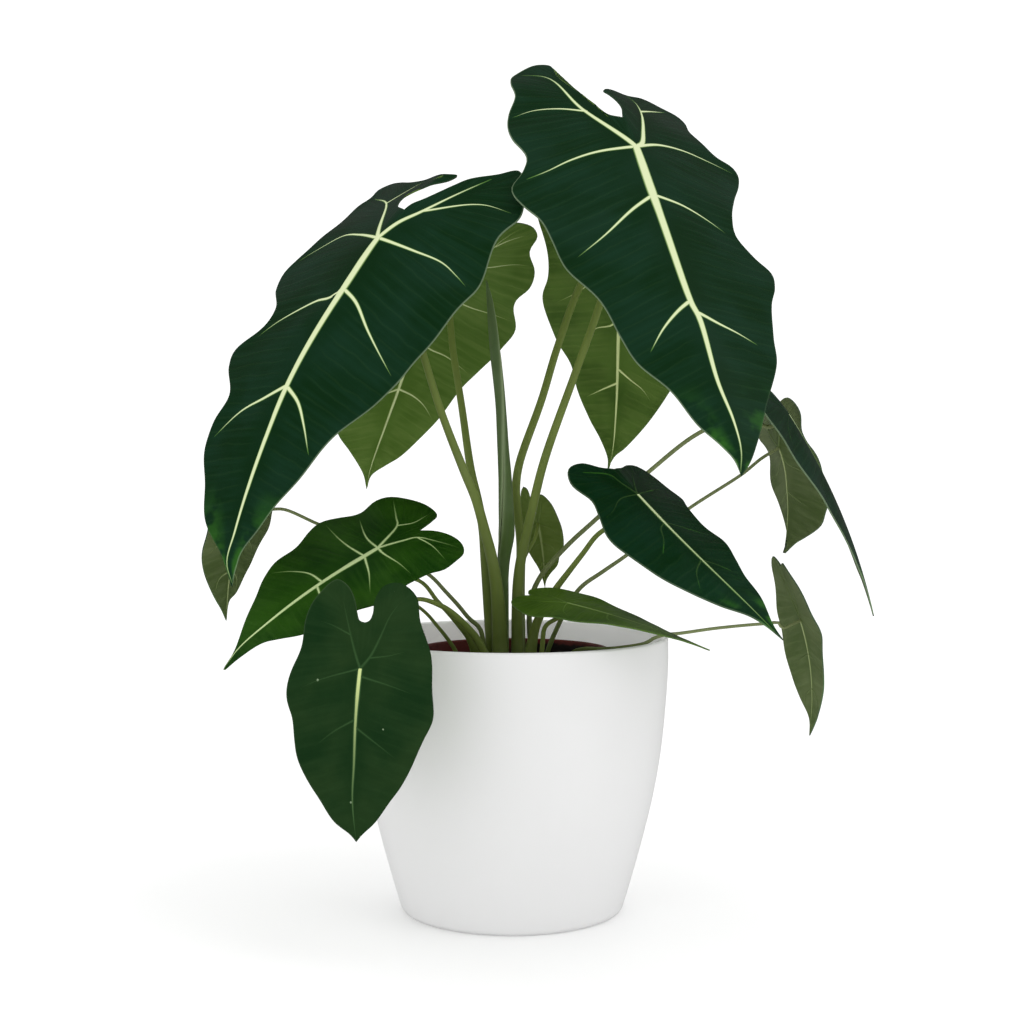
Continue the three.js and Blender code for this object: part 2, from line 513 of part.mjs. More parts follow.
function nurseryPot() {
  const top = LINER_FLOOR + LINER_HEIGHT;
  const shell = solid(turned([
    [0, LINER_FLOOR], [LINER_FOOT_RADIUS, LINER_FLOOR], [LINER_TOP_RADIUS, top - LINER_LIP_HEIGHT],
    [LINER_LIP_RADIUS, top - LINER_LIP_HEIGHT], [LINER_LIP_RADIUS, top],
    [LINER_TOP_RADIUS - LINER_WALL, top], [LINER_FOOT_RADIUS - LINER_WALL, LINER_FLOOR + LINER_WALL],
    [0, LINER_FLOOR + LINER_WALL],
  ], POT_SIDES));
  const holes = Array.from({ length: DRAIN_HOLES }, (_, i) => {
    const drill = new THREE.CylinderGeometry(DRAIN_RADIUS, DRAIN_RADIUS, DRILL_DEPTH, DRILL_SIDES);
    drill.rotateX(Math.PI / 2).translate(DRAIN_RING, 0, LINER_FLOOR);
    return solid(drill.rotateZ((2 * Math.PI * i) / DRAIN_HOLES));
  });
  return holes.reduce((pot, hole) => pot.subtract(hole), shell);
}

/** The soil, with a plain hole for everything that stands in it. */
function soil() {
  const bottom = LINER_FLOOR + LINER_WALL + GAP;
  const clear = LINER_WALL + GAP;
  const slope = (LINER_TOP_RADIUS - LINER_FOOT_RADIUS) / LINER_HEIGHT;
  const radiusAt = (z) => LINER_FOOT_RADIUS - clear - SOIL_EXTRA + slope * (z - LINER_FLOOR);
  const mound = MOUND_RINGS.map((share) => share * radiusAt(SOIL_TOP)).map((r) => [r, soilHeight(r)]);
  const side = [bottom, SOIL_TOP].map((z) => [radiusAt(z), z]);
  const body = solid(turned([[0, bottom], ...side, ...mound, [0, soilHeight(0)]], POT_SIDES));
  const petioles = Object.values(LEAVES).map((leaf) => petioleTube(leaf, HOLE_GAP));
  return [...petioles, newLeaf(HOLE_GAP)]
    .reduce((rest, stem) => rest.subtract(stem), body);
}

// ---- Assembly ----------------------------------------------------------------------------
const plant = new THREE.Group();

function addPiece(name, geometry, material) {
  const mesh = new THREE.Mesh(geometry, material);
  mesh.name = name;
  plant.add(mesh);
}

addPiece('outer_pot', outerPot(), COLOURS.pot);
addPiece('nursery_pot', geometryOf(nurseryPot()), COLOURS.liner);
addPiece('soil', geometryOf(soil()), COLOURS.soil);
addPiece('new_leaf', geometryOf(newLeaf(0)), COLOURS.newLeaf);

for (const [name, leaf] of Object.entries(LEAVES)) {
  addPiece(`blade_${name}`, bladeGeometry(leaf, BLADE_THICKNESS), COLOURS.blade);
}

// The two tallest petioles on the left grow from one sheath, so they are one piece.
const SHEATHED = ['left_high', 'back_left'];
addPiece('petioles_left_pair', geometryOf(SHEATHED.map((name) => petiole(LEAVES[name]))
  .reduce((all, next) => all.add(next))), COLOURS.petiole);
for (const [name, leaf] of Object.entries(LEAVES)) {
  if (!SHEATHED.includes(name)) addPiece(`petiole_${name}`, geometryOf(petiole(leaf)), COLOURS.petiole);
}

export default plant;
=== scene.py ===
"""A potted alocasia: dark arrow-shaped leaves with pale veins in a white pot.

The shapes are made in millimetres by the rules and sizes below, and put into the scene in
metres. The origin is the middle of the pot's underside, and the plant's front faces -Y.
"""

import math
import re

import bpy
import numpy as np
from mathutils import Euler, Matrix, Vector


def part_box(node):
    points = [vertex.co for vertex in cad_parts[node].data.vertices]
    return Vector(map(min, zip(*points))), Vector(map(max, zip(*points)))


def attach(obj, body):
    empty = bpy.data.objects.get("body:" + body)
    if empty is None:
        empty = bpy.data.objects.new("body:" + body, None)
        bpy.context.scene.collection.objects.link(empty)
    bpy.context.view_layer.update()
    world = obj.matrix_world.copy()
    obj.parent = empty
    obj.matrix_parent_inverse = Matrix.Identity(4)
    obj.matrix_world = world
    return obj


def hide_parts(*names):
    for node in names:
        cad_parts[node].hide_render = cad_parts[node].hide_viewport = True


bl_info = {
    "name": "Potted Alocasia",
    "version": (1, 0, 0),
    "blender": (4, 5, 0),
    "location": "View3D > Sidebar > Alocasia",
    "description": "Builds a potted alocasia round its packed solids",
    "category": "Object",
}

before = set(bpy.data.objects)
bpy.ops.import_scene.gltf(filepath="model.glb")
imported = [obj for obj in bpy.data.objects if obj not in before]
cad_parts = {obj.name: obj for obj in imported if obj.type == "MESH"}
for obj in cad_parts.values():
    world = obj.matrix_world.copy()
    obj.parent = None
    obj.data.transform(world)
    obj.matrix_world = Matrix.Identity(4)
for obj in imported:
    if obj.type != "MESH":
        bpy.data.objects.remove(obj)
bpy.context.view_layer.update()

MM = 0.001
SEED = 7

# ---- The leaves ---------------------------------------------------------------------------
# junction: where the petiole meets the blade. length: from there to the tip.
# heading: compass direction of the tip, 0 = +X and 90 = +Y. turn: how far it swings on the way.
# pitch: slope below level at the junction and at the tip. lobe_pitch: change in the lobes.
# roll: lift of the right half at the junction. twist: further roll at the tip.
# fold: lift of the left and right halves. sinus: how far back the two lobes stay joined.
# wave: height, length and offset of the ripple at the margin. radius: of the petiole at its foot
# and at the blade. neck: the petiole's last stretch, square to the blade.
# above, below: finishes of the two faces. rib_width: of the midrib. rib_loss: how much paleness
# the upper midrib loses on the way to the tip. side_paleness: of the upper side veins.
# margin paleness: of the left and right halves, the pale margin being partly the blade's own edge and partly
# a painted highlight.
# lines: points as distance along the midrib and distance out from it. left, right: the margin
# from the tip to the sinus. hook: the middle line of a hooked lobe. rib: the midrib; costa,
# lateral, branch: the side veins, out to the right if positive. A leaf with no rib here has the
# usual veins of its kind. route: the petiole from the soil up, as x, y and z.
FIELDS = (
    "junction", "length", "heading", "turn", "pitch", "lobe_pitch", "roll", "twist", "fold", "sinus", "wave",
    "radius", "neck", "above", "below", "rib_width", "rib_loss", "side_paleness", "margin_paleness_and_highlight", "lines",
)
LEAF_TABLE = {
    "left_high": (
        (-77, -53, 401), 221, -146, 4, (46, 83), -16, 15, 16, (-21, -11), 25, (1.6, 62, 10), (6.2, 2.1), 14,
        "dark", "olive", 4.3, 0.05, 1.0, (0.55, 0.1), """
    left 203 2, 188 10, 173 17, 155 27, 136 34, 123 40, 98 56, 83 62, 62 66, 33 73, 3 74, -32 66, -54 65,
      -77 50, -86 38, -78 29, -65 17, -56 13, -46 9, -37 5, -30 1
    right 205 9, 187 26, 167 34, 148 44, 132 45, 115 42, 97 57, 87 60, 68 46, 56 47, 40 65, 26 72, 6 65,
      -12 66, -38 72, -47 67, -56 69, -62 63, -61 50, -58 36, -58 22, -60 10, -60 -1, -63 -9, -57 -8,
      -50 -2, -46 4, -44 12, -41 17, -36 17, -30 13, -27 7
    route -7 -12, -9 -13 194, -12 -15 214, -16.5 -17 232, -21.5 -19 250, -28.5 -22 267, -42 -32 303,
      -56 -42 349
    right_hook -36 34, -49 20, -52 10, -56 -3
    rib 0 0, 39 -4, 105 -2, 142 -1, 190 3, 208 5, 219 0
    costa 0 0, -36 34, -45 60  costa 0 0, -15 -4, -29 -11, -72 -28
    lateral 0 0, -4 24, -4 42, 7 54, 18 66  lateral 0 0, -2 -25, -3 -45, 1 -58, 5 -67
    lateral 39 -4, 44 -16, 58 -32, 79 -57  lateral 38 -4, 46 2, 49 13, 64 35, 76 46
    lateral 105 -2, 112 -12, 124 -20, 140 -28  lateral 105 -2, 114 12, 123 26, 140 40
    branch -36 34, -56 17  branch -29 -11, -51 -38, -55 -58"""),
    "right_high": (
        (72, -41, 455), 239, -69, -8, (48, 56), -22, -1, -11, (-15, -16), 28, (1.8, 66, 30), (4.3, 2.2), 14,
        "dark", "olive", 4.6, 0.05, 1.0, (0.1, 0.6), """
    left 232 6, 213 16, 195 24, 164 39, 145 43, 120 50, 106 57, 92 60, 80 53, 64 47, 48 50, 30 59, 8 73,
      -2 77, -9 75, -16 64, -30 59, -43 57, -60 61, -68 58, -72 48, -73 35, -68 20, -65 8, -59 -2, -54 0,
      -48 3, -41 4, -34 2
    right 228 2, 218 7, 203 16, 180 25, 157 38, 136 44, 110 50, 82 62, 62 66, 46 69, 31 75, 15 78, 4 69,
      -5 65, -22 69, -36 68, -52 63, -68 55, -84 53, -96 48, -106 36, -109 28, -105 21, -88 22, -70 19,
      -51 13, -33 7
    route 3.5 -6, 3.5 -6 196, 5.4 -6 213, 12 -6 243, 19.4 -8 273, 38 -14 326, 53 -20 369, 64 -24 415
    left_hook -20 12, -44 19, -56 12, -59 1
    rib 0 0, 42 2, 124 2, 136 0, 179 0, 206 -3, 224 -3, 237 0
    costa 0 0, -43 20, -89 29, -97 42  costa 0 0, -4 -5, -20 -12, -47 -21, -60 -22, -67 -18
    lateral 0 0, -1 23, 2 40, 7 55, 10 68  lateral 0 0, -9 -20, -11 -38, -8 -54, -3 -73
    lateral 42 2, 50 16, 65 36, 76 54  lateral 42 2, 46 -16, 53 -28, 63 -40
    lateral 124 2, 129 10, 138 20, 151 30  lateral 132 1, 139 -10, 145 -21, 152 -31
    branch -40 18, -48 33, -51 48, -48 62  branch -47 -21, -55 -32, -66 -48"""),
    "back_left": (
        (-48, 62, 386), 157, 131, -5, (52, 65), -8, -5, -15, (-3, -7), 20, (1.6, 54, 0), (5.5, 2.2), 14,
        "dark", "olive", 3.0, 0.1, 0.9, (0.2, 0.2), """
    left 146 5, 131 18, 120 29, 104 38, 84 47, 62 55, 40 61, 18 64, -4 63, -26 58, -44 48, -54 36, -52 24,
      -42 14, -32 6
    right 146 1, 137 9, 129 17, 113 27, 96 35, 74 44, 58 52, 36 62, 22 69, 7 62, 0 61, -11 65, -23 64,
      -34 56, -45 57, -52 50, -54 38, -50 25, -42 14, -32 6
    route -11 -2, -14 -2 188, -16 -1 213, -17.5 1 231, -20.8 5 249, -25 8 267, -31 22 306, -37 38 342
    rib 0 0, 80 2, 108 1, 144 -1, 155 0
    costa 0 0, -18 20, -38 30, -50 40  costa 0 0, -18 -20, -36 -32, -49 -40
    lateral 0 0, 8 14, 12 29, 14 45, 17 65  lateral 0 0, 5 -18, 9 -40, 14 -58
    lateral 40 1, 47 13, 50 26, 60 47  lateral 40 1, 50 -18, 66 -42  lateral 80 2, 83 13, 88 22, 97 31
    lateral 80 2, 88 -12, 100 -30
    branch -16 19, -19 30, -24 45, -26 58  branch -34 28, -40 36, -46 47
    branch -20 -22, -24 -38, -24 -52"""),
    "back_right": (
        (69, 57, 423), 185, 82, 20, (53, 64), -10, -16, -1, (4, -7), 22, (1.6, 58, 20), (3.8, 2.3), 14,
        "dark", "deep_olive", 3.4, 0.1, 0.9, (0.2, 0.2), """
    left 176 1, 162 8, 150 16, 128 27, 110 33, 93 45, 63 55, 49 52, 37 52, 17 55, -5 60, -30 60, -55 52,
      -70 38, -72 26, -60 14, -40 7
    right 174 4, 167 10, 148 22, 128 32, 110 40, 90 48, 70 55, 45 61, 20 64, -5 65, -30 63, -55 54,
      -72 38, -74 27, -62 15, -42 7
    route 5 20, 5 18 193, 5.4 18 222, 3.2 18 243, 2.5 18 257, 4.5 18 271, 18.5 24 311, 28.5 34 344,
      44 46 385
    rib 0 0, 81 -1, 133 1, 168 2, 183 1
    costa 0 0, -28 14, -60 28  costa 0 0, -28 -14, -60 -28
    lateral 0 0, 2 28, 10 52  lateral 0 0, 2 -28, 10 -50  lateral 30 0, 42 18, 60 42
    lateral 30 0, 42 -16, 56 -32, 65 -45  lateral 68 -1, 78 14, 93 32
    lateral 68 -1, 75 -6, 79 -16, 87 -26  lateral 107 0, 114 10, 119 18, 126 24
    lateral 118 0, 124 -9, 132 -20
    branch -28 14, -38 32, -42 48  branch -28 -14, -38 -32, -42 -46"""),
    "left_mid": (
        (-77, -58, 223), 116, -150, 10, (23, 43), -15, 17, -1, (-6, 6), 28, (1, 40, 0), (4.4, 1.1), 14,
        "fresh", "olive", 3.2, 0.0, 0.76, (0.0, 0.1), """
    left 106 2, 92 7, 85 14, 76 23, 60 31, 45 37, 28 42, 10 44, -8 41, -19 44, -34 39, -41 28, -41 17,
      -36 7
    right 102 5, 82 16, 70 23, 58 31, 46 36, 31 39, 19 44, 10 46, -1 44, -13 41, -24 44, -36 42, -46 29,
      -47 12, -40 6
    route -21 -15, -25 -19 166, -31 -25 175, -38 -32 184, -44 -37 191, -53 -46 203
    rib 0 0, 10 -1, 40 -1, 78 1, 101 3, 115 1
    costa 0 0, -21 13, -25 21, -33 39  costa 0 0, -15 -4, -23 -6, -30 -17, -37 -30
    lateral 0 0, -1 14, -9 36  lateral 0 0, 1 -6, 0 -23, 1 -36  lateral 10 -1, 11 19, 9 42
    lateral 10 -1, 12 -5, 18 -17, 29 -32  lateral 40 -1, 40 12, 45 22, 53 31
    lateral 44 -1, 50 -12, 60 -24
    branch -21 13, -30 10, -44 15  branch -23 -6, -25 -19, -23 -37"""),
    "front_hanging": (
        (-81, -130, 163), 93, -111, 2, (74, 99), 5, 3, 7, (-4, -2), 25, (1, 38, 0), (4, 1), 14,
        "speckled", "olive", 2.1, 0.6, 0.27, (0.0, 0.1), """
    left 89 3.5, 82 11, 71 19, 62 25.5, 50 32, 36 37.5, 24 42, 9 41.5, -10 38, -27 31.5, -40 28, -47 18,
      -45 9, -37 4.4, -30 4, -26 2.4
    right 89 3, 82 11.5, 71 19, 61 26, 50 31.5, 39 34.5, 29 37, 18 41, 3 40, -11 37, -26 35.5, -38 31,
      -48 20, -44 12, -37 7.6, -30 5.4, -26 3.6
    route -14 -25, -20 -29 166, -28 -36 177, -36 -45 185.5, -42 -53 190, -53 -70 195, -65 -92 192,
      -74 -110 181
    rib 0 0, 29 0, 50 0, 70 1, 92 0
    costa 0 0, -6 3, -13 6, -21 9, -38 15  costa 0 0, -7 -5, -19 -10, -29 -14, -39 -21
    lateral 0 0, 7 22, 13 35  lateral 4 0, 8 -17, 12 -31  lateral 27 0, 34 12, 42 22
    lateral 31 0, 40 -13, 47 -23
    branch -18 8, -23 20, -25 28  branch -6 -5, -8 -16, -11 -25"""),
    "left_small": (
        (-157, -20, 251), 77, 153, -8, (64, 89), -10, 0, -4, (2, 2), 12, (0.8, 32, 0), (1.9, 1), 14,
        "dark", "grey_olive", 2.2, 0.1, 0.7, (0.1, 0.1), """
    left 70 4, 60 12, 48 20, 33 26, 16 28, 2 31, -12 30, -25 26, -33 18, -32 11, -24 5
    right 65 2, 61 7, 50 14, 43 19, 29 25, 19 30, 5 32, -10 31, -24 27, -33 18, -32 11, -24 5
    route -17 -8, -19 -10 171, -26.5 -13 179, -32 -15 186, -40 -17 195, -50 -16 205, -85 -14 223,
      -116 -14 235, -136 -17 244"""),
    "centre_small": (
        (16.5, 44, 233), 54, 75, 12, (48, 61), 0, 2, -2, (-4, -5), 8, (0.6, 26, 0), (2, 1.1), 14,
        "deep", "fresh_olive", 1.6, 0.3, 0.3, (0.1, 0.1), """
    left 44 2, 37 4, 30 7, 20 10, 8 11, -6 10, -18 8, -27 6.5, -32 4, -30 2, -19 1
    right 48 1, 42 4, 35 9, 27 11, 20 14, 8 15, -6 14, -18 11, -25 6.5, -24 4, -16 2
    route 6 29, 5 28.5 190, 7.5 30 211"""),
    "front_low": (
        (32, -54, 191), 96, -38, 5, (8, 17), -6, -10, 22, (-4, -4), 26, (1, 36, 0), (2.4, 1.3), 5,
        "leafy", "olive", 1.2, 0.5, 0.3, (0.3, 0.1), """
    left 91 1, 81 4, 69 8, 55 12, 42 16, 29 19, 13 21, -2 22, -15 20, -28 14, -33 8, -31 3
    right 91 1, 81 5, 69 9, 55 14, 42 18, 29 22, 13 25, -2 26, -15 23, -28 16, -34 9, -32 3
    route 17 -31, 18 -35 165, 19.5 -39 176"""),
    "right_mid": (
        (72, -61, 254), 130, -48, 0, (37, 33), -4, -4, -14, (-9, -12), 24, (1, 44, 0), (5.6, 1.4), 14,
        "dark", "olive", 1.8, 0.5, 0.17, (0.1, 0.3), """
    left 119 3, 98 13, 81 18, 63 25, 44 32, 28 30, 12 32, 3 36, -10 36, -21 33, -30 26, -30 17, -26 8
    right 118 1, 107 4, 93 13, 78 20, 58 30, 38 35, 22 38, 6 33, -5 30, -21 34, -32 28, -34 17, -27 7
    route 10.5 -18, 14.5 -19 175, 25.5 -24 196, 32.5 -28 206, 42 -34 219, 50 -40 230
    rib 0 0, 26 0, 95 -1, 126 0
    costa 0 0, -12 4, -20 6, -27 21  costa 0 0, -3 -1, -22 -14
    lateral 0 0, 0 13, 7 23, 10 30  lateral 0 0, -5 -17, -7 -26  lateral 26 0, 29 5, 37 9, 47 17
    lateral 26 0, 31 -11, 37 -24  lateral 60 0, 66 8, 77 14  lateral 60 0, 66 -8, 75 -16"""),
    "right_far": (
        (166, -11, 301), 132, -16, 19, (57, 77), -50, -4.4, -3.5, (-12, -12), 12, (1, 44, 0), (2, 1.3), 14,
        "dark", "grey_olive", 0.8, 0.9, 0.1, (0.1, 0.6), """
    left 123 3, 108 9, 92 16, 75 24, 58 31, 41 37, 23 41, 8 42, -10 39, -23 31, -31 22, -30 13, -21 5
    right 123 2, 108 7, 92 13, 75 19, 58 24, 41 29, 23 32, 8 33, -10 31, -23 24, -31 17, -30 10, -21 4
    route 12 7, 11 5 185, 17 0 202, 33 -3 221, 50 -6 237, 82 -8 266, 113 -8 290, 140 -9 300"""),
    "right_back": (
        (173, 68, 281), 71, 14, 0, (61, 112), 36, 2, 15, (10, 10), 13, (0.8, 32, 0), (2, 1.1), 14,
        "dark", "grey_olive", 1.8, 0.3, 0.4, (0.2, 0.2), """
    left 63 1, 53 7, 43 17, 33 28, 20 33, 6 38, -8 38, -22 31, -30 21, -29 12, -22 5
    right 63 6, 59 12, 50 25, 43 27, 34 31, 20 33, 8 31, 2 31, -6 35, -13 36, -22 35, -30 31, -33 24,
      -30 14, -22 6
    route 20 1, 28 3 172, 41 8 194, 56 14 204.5, 70 20 213.5, 111 36 242.5, 147 54 264
    rib 0 0, 18 -4, 30 -6, 49 -5, 66 -2
    costa 0 0, -12 10, -24 16  costa 0 0, -12 -10, -24 -16
    lateral 4 -1, 11 1, 19 16, 27 23  lateral 6 -2, 14 -14, 24 -26  lateral 30 -6, 36 4, 40 13
    lateral 30 -6, 35 -12, 39 -17"""),
    "right_low": (
        (176, -1, 176), 72, 13, 3, (71, 99), -5, 4, 9, (-9, -6), 35, (0.8, 32, 0), (1.6, 1), 14,
        "dark", "grey_olive", 1.4, 0.3, 0.2, (0.2, 0.2), """
    left 62 2, 49 12, 40 18, 22 23, 5 25, -14 20, -26 16, -37 11, -42 6, -39 2
    right 64 4, 51 10, 35 15, 19 20, 5 25, -8 25, -21 18, -31 12, -38 6, -37 2
    route 36 -20, 36 -20 158, 42 -23 161, 52 -27 161.5, 62 -31 162.5, 79 -33 165.7, 84 -31.5 168.4,
      90.5 -30 170.2, 100 -26 170.7, 123 -16 172.7, 150 -8 174.3, 163 -4 174.3"""),
    "left_hidden": (
        (-84, -36, 209), 46, -172, 0, (30, 45), -10, 6, 0, (-6, -6), 7, (0.5, 24, 0), (1.9, 1), 14,
        "deep", "grey_olive", 1.2, 0.3, 0.5, (0.1, 0.1), """
    left 41 2, 34 5, 26 9, 17 13, 7 15, -3 15, -12 12, -17 7, -13 3
    right 41 2, 34 5, 26 9, 17 13, 7 15, -3 15, -12 12, -17 7, -13 3
    route -32 -9, -34 -10 158, -39 -12 166, -45 -15 174, -51 -18 181.5, -58 -22 187.5"""),
}

# The new leaf's petiole and roll: share of the way up and radius there, and its route.
NEW_LEAF_RADIUS = [
    (0, 3.2), (0.29, 3), (0.36, 4.4), (0.4, 5.3), (0.5, 4.7), (0.6, 3.9), (0.7, 3.5), (0.82, 3.7), (0.9, 2.9),
    (0.96, 1.8), (1, 0.4),
]
NEW_LEAF_ROUTE = [
    (-5, 9), (-5, 8, 194), (-5, 7, 212), (-3.2, 6, 228), (-3.5, 5, 246), (-4, 4, 261), (-5.2, 3, 280),
    (-7, 2, 310), (-10.4, 0, 342), (-13.6, 0, 370), (-15.5, 0, 382),
]
SHEATHED = ("left_high", "back_left")  # the petioles that share a sheath
THIN = ("left_small", "right_far", "right_back", "right_low")

# ---- Other sizes, in millimetres ----------------------------------------------------------
POT_OUTSIDE = [
    (68, 2.5), (70, 9), (74, 23), (80, 45), (86, 70), (90.5, 96), (93.5, 125), (95, 150), (95, 165),
]
POT_FOOT = [(52, 1.4), (57, 1.4), (59, 0.6), (60, 0), (65, 0), (66.8, 0.8)]
POT_HEIGHT = 167
POT_WALL = 3.4
POT_FLOOR = 7
LINER_WALL = 1.2
LINER_LIP = 7  # height of the nursery pot's lip
LINER_FOOT = 44  # radii of the nursery pot, here and below
LINER_TOP = 58
LINER_LIP_RADIUS = 60
DRAIN_HOLES = 5
DRAIN_RADIUS = 4
DRAIN_OUT = 26  # from the middle to each hole
SOIL_TOP = 150
SOIL_MOUND = 3
SOIL_RADIUS = 56
SOIL_FOOT = 42
SOIL_RINGS = 40
SOIL_SIDES = 120
# Size, two widths and phase of each wave of the soil's top.
SOIL_WAVES = (0.7, 7.0, 5.0, 0.3), (0.5, 3.1, 3.7, 1.1), (0.3, 1.7, 1.3, 2.0)
CRUMB_KINDS = 6
BARK_SHARE = 0.14
FOOT_DEPTH = 24  # how deep a stem stands in the soil

CREASE = 2.5  # half the width over which a blade bends at its midrib
MIDRIB_STEPS = 24  # straight steps that a bent midrib is made of
WAVE_WIDTH = 0.33  # distance out at which the ripple has its full height, per length
LARGE_LENGTH = 220  # of the blade to which the puckering's height is given
PUCKER_REACH = 11  # from a vein to where that blade has puckered up
BLADE_ROWS = 15
PER_CORNER = 8  # points from one corner of a margin to the next
FIRST_VEIN_SLOPE = 0.3  # of the line from the junction that ends the midrib's columns
LOBE_RIB = 0.75  # length of a lobe's middle line, as a share of the way to the lobe's tip
MIDRIB_SPACING, FEWEST_AT_MIDRIB = 2.2, 18
LOBE_SPACING, FEWEST_IN_LOBE = 3, 12
# The pale margin is partly the blade's own edge and partly a painted highlight.
MARGIN_STRIP = 0.8  # width of the pale margin
ROW_CROWDING = 1.3  # power that crowds a blade's rows towards the midrib
VEIN_SPACING = 9.0  # of the fine side veins, at the margin

# A vein across: offset in half widths, share of its height, and how pale it is. The two outer
# points are moved out by the halo, and the last one lies inside the blade.
VEIN_SECTION = np.array([
    (-1, -0.1, 0), (-1, 0.45, 0.5), (-0.55, 0.85, 1), (0, 1, 1),
    (0.55, 0.85, 1), (1, 0.45, 0.5), (1, -0.1, 0), (0, -1, 0),
])
VEIN_WIDTHS = {"rib": 1.0, "costa": 0.72, "lateral": 0.52, "branch": 0.36}
RIB_TAPER = [0, 0.06, 0.16, 0.24, 0.5, 0.75, 1], [1, 1.15, 1.2, 0.95, 0.74, 0.42, 0.06]  # share along, width
SIDE_TAPER = 0.88
VEIN_STEP = 2.5
VEIN_ROOT = 0.35  # how far a vein reaches into its blade
HALO = 0.7  # width of the yellow-green line beside a vein

STEM_SIDES = 28
STEM_STEP = 3.0
PETIOLE_TAPER = 3  # power with which a petiole thins
ROLL_STEP = 0.16  # height of the step at the roll's seam, per radius

# Screen colours of the blades' faces: two shades that drift into each other, one in streaks, which on the
# undersides also paint light and shade between the veins, the line beside a vein, and the veins.
BLADE_SHADES = {
    "dark": ((3, 41, 10), (10, 46, 25), (22, 60, 42), (92, 126, 62), (208, 218, 172)),
    "deep": ((11, 45, 12), (26, 53, 24), (36, 64, 32), (56, 90, 50), (196, 210, 140)),
    "speckled": ((12, 46, 14), (30, 56, 22), (38, 66, 32), (56, 88, 48), (196, 210, 140)),
    "fresh": ((14, 53, 2), (34, 72, 7), (54, 92, 26), (84, 116, 54), (190, 208, 152)),
    "leafy": ((52, 82, 16), (72, 102, 26), (86, 114, 40), (108, 134, 66), (140, 164, 98)),
    "olive": ((70, 100, 28), (88, 116, 46), (104, 128, 60), (112, 136, 66), (192, 205, 150)),
    # A darker copy of olive: painted shade on the underside of back_right.
    "deep_olive": ((56, 84, 20), (76, 104, 36), (92, 114, 50), (104, 128, 58), (196, 208, 146)),
    "fresh_olive": ((92, 114, 46), (106, 128, 60), (118, 138, 72), (112, 132, 68), (150, 166, 106)),
    "grey_olive": ((70, 88, 42), (88, 102, 60), (102, 116, 76), (104, 122, 72), (158, 170, 118)),
}
# Colour of the pale margin, partly a painted highlight along the edge; also of the specks.
MARGIN = (134, 154, 122)
YOUNG_GREEN = (44, 96, 24)

# Looks of a stem: from where to where its colour changes; scale, stretch, share and colour of
# its streaks; scale, start, share and colour of its blotches; share and colour of its edges.
PETIOLE_LOOKS = (
    (0, 0.45), (160, 0.06, 0.25, (82, 98, 46)), (22, 0.5, 0.35, (128, 140, 88)), (0.7, (146, 158, 104)))
ROLL_LOOKS = (
    (0.3, 0.7), (200, 0.08, 0.35, (62, 88, 48)), (34, 0.45, 0.4, (104, 124, 86)), (0.75, (156, 172, 132)))
ROLL_LOW, ROLL_HIGH = (82, 106, 50), (88, 107, 68)


# ---- Lines and surfaces -------------------------------------------------------------------
def smooth_line(points, per_span=12):
    """Points along a centripetal Catmull-Rom curve through the given ones."""
    p = np.asarray(points, float)
    p = np.vstack([2 * p[0] - p[1], p, 2 * p[-1] - p[-2]])
    share = np.linspace(0, 1, per_span, endpoint=False)[:, None]
    spans = []
    for a, b, c, d in zip(p, p[1:], p[2:], p[3:]):
        t0, t1, t2 = (math.sqrt(max(np.linalg.norm(q - r), 1e-6)) for q, r in ((b, a), (c, b), (d, c)))
        start = ((b - a) / t0 - (c - a) / (t0 + t1) + (c - b) / t1) * t1
        end = ((c - b) / t1 - (d - b) / (t1 + t2) + (d - c) / t2) * t1
        spans.append(b + start * share + (3 * (c - b) - 2 * start - end) * share**2
                     + (2 * (b - c) + start + end) * share**3)
    return np.vstack([*spans, p[-2]])


def distances(line):
    """How far each point of a line is from its start, along it."""
    return np.concatenate([[0], np.cumsum(np.linalg.norm(np.diff(line, axis=0), axis=1))])


def evenly(line, count):
    """count + 1 points at even distances along a line."""
    line = np.asarray(line, float)
    travelled = distances(line)
    wanted = np.linspace(0, travelled[-1], count + 1)
    return np.stack([np.interp(wanted, travelled, line[:, axis]) for axis in range(line.shape[1])], axis=1)


def directions(line):
    """The direction of a line at each of its points."""
    course = np.gradient(line, axis=0)
    return course / np.linalg.norm(course, axis=1, keepdims=True)


def blade_axes(leaf, along):
    """Directions of a blade at distances along its midrib: to the tip, to the right, up."""
    share = along / leaf["length"]
    start, end = leaf["pitch"]
    slope = np.where(along >= 0, start + (end - start) * share, start - 2 * leaf["lobe_pitch"] * share)
    pitch = np.radians(slope)[..., None]
    heading = np.radians(leaf["heading"] + leaf["turn"] * np.maximum(share, 0))
    level = np.stack([np.cos(heading), np.sin(heading), np.zeros_like(heading)], axis=-1)
    upright = np.array([0.0, 0.0, 1.0])
    tip = level * np.cos(pitch) - upright * np.sin(pitch)
    up = level * np.sin(pitch) + upright * np.cos(pitch)
    side = np.cross(tip, up)
    roll = np.radians(leaf["roll"] + leaf["twist"] * share)[..., None]
    return tip, side * np.cos(roll) + up * np.sin(roll), up * np.cos(roll) - side * np.sin(roll)


def rib_out(leaf, along):
    """How far the midrib lies to the right of the blade's axis."""
    rib = np.array(leaf["rib"][0])
    return np.interp(along, rib[:, 0], rib[:, 1], left=0)


def from_veins(leaf, along, out):
    """Distance to the nearest vein, in the blade's own plane."""
    nearest = np.full(np.shape(along), 1e3)
    for line in (line for kind in VEIN_WIDTHS for line in leaf.get(kind, ())):
        for (a, b), (c, d) in zip(line, line[1:]):
            span = (c - a) ** 2 + (d - b) ** 2 + 1e-9
            share = np.clip(((along - a) * (c - a) + (out - b) * (d - b)) / span, 0, 1)
            nearest = np.minimum(nearest, np.hypot(along - a - share * (c - a), out - b - share * (d - b)))
    return nearest


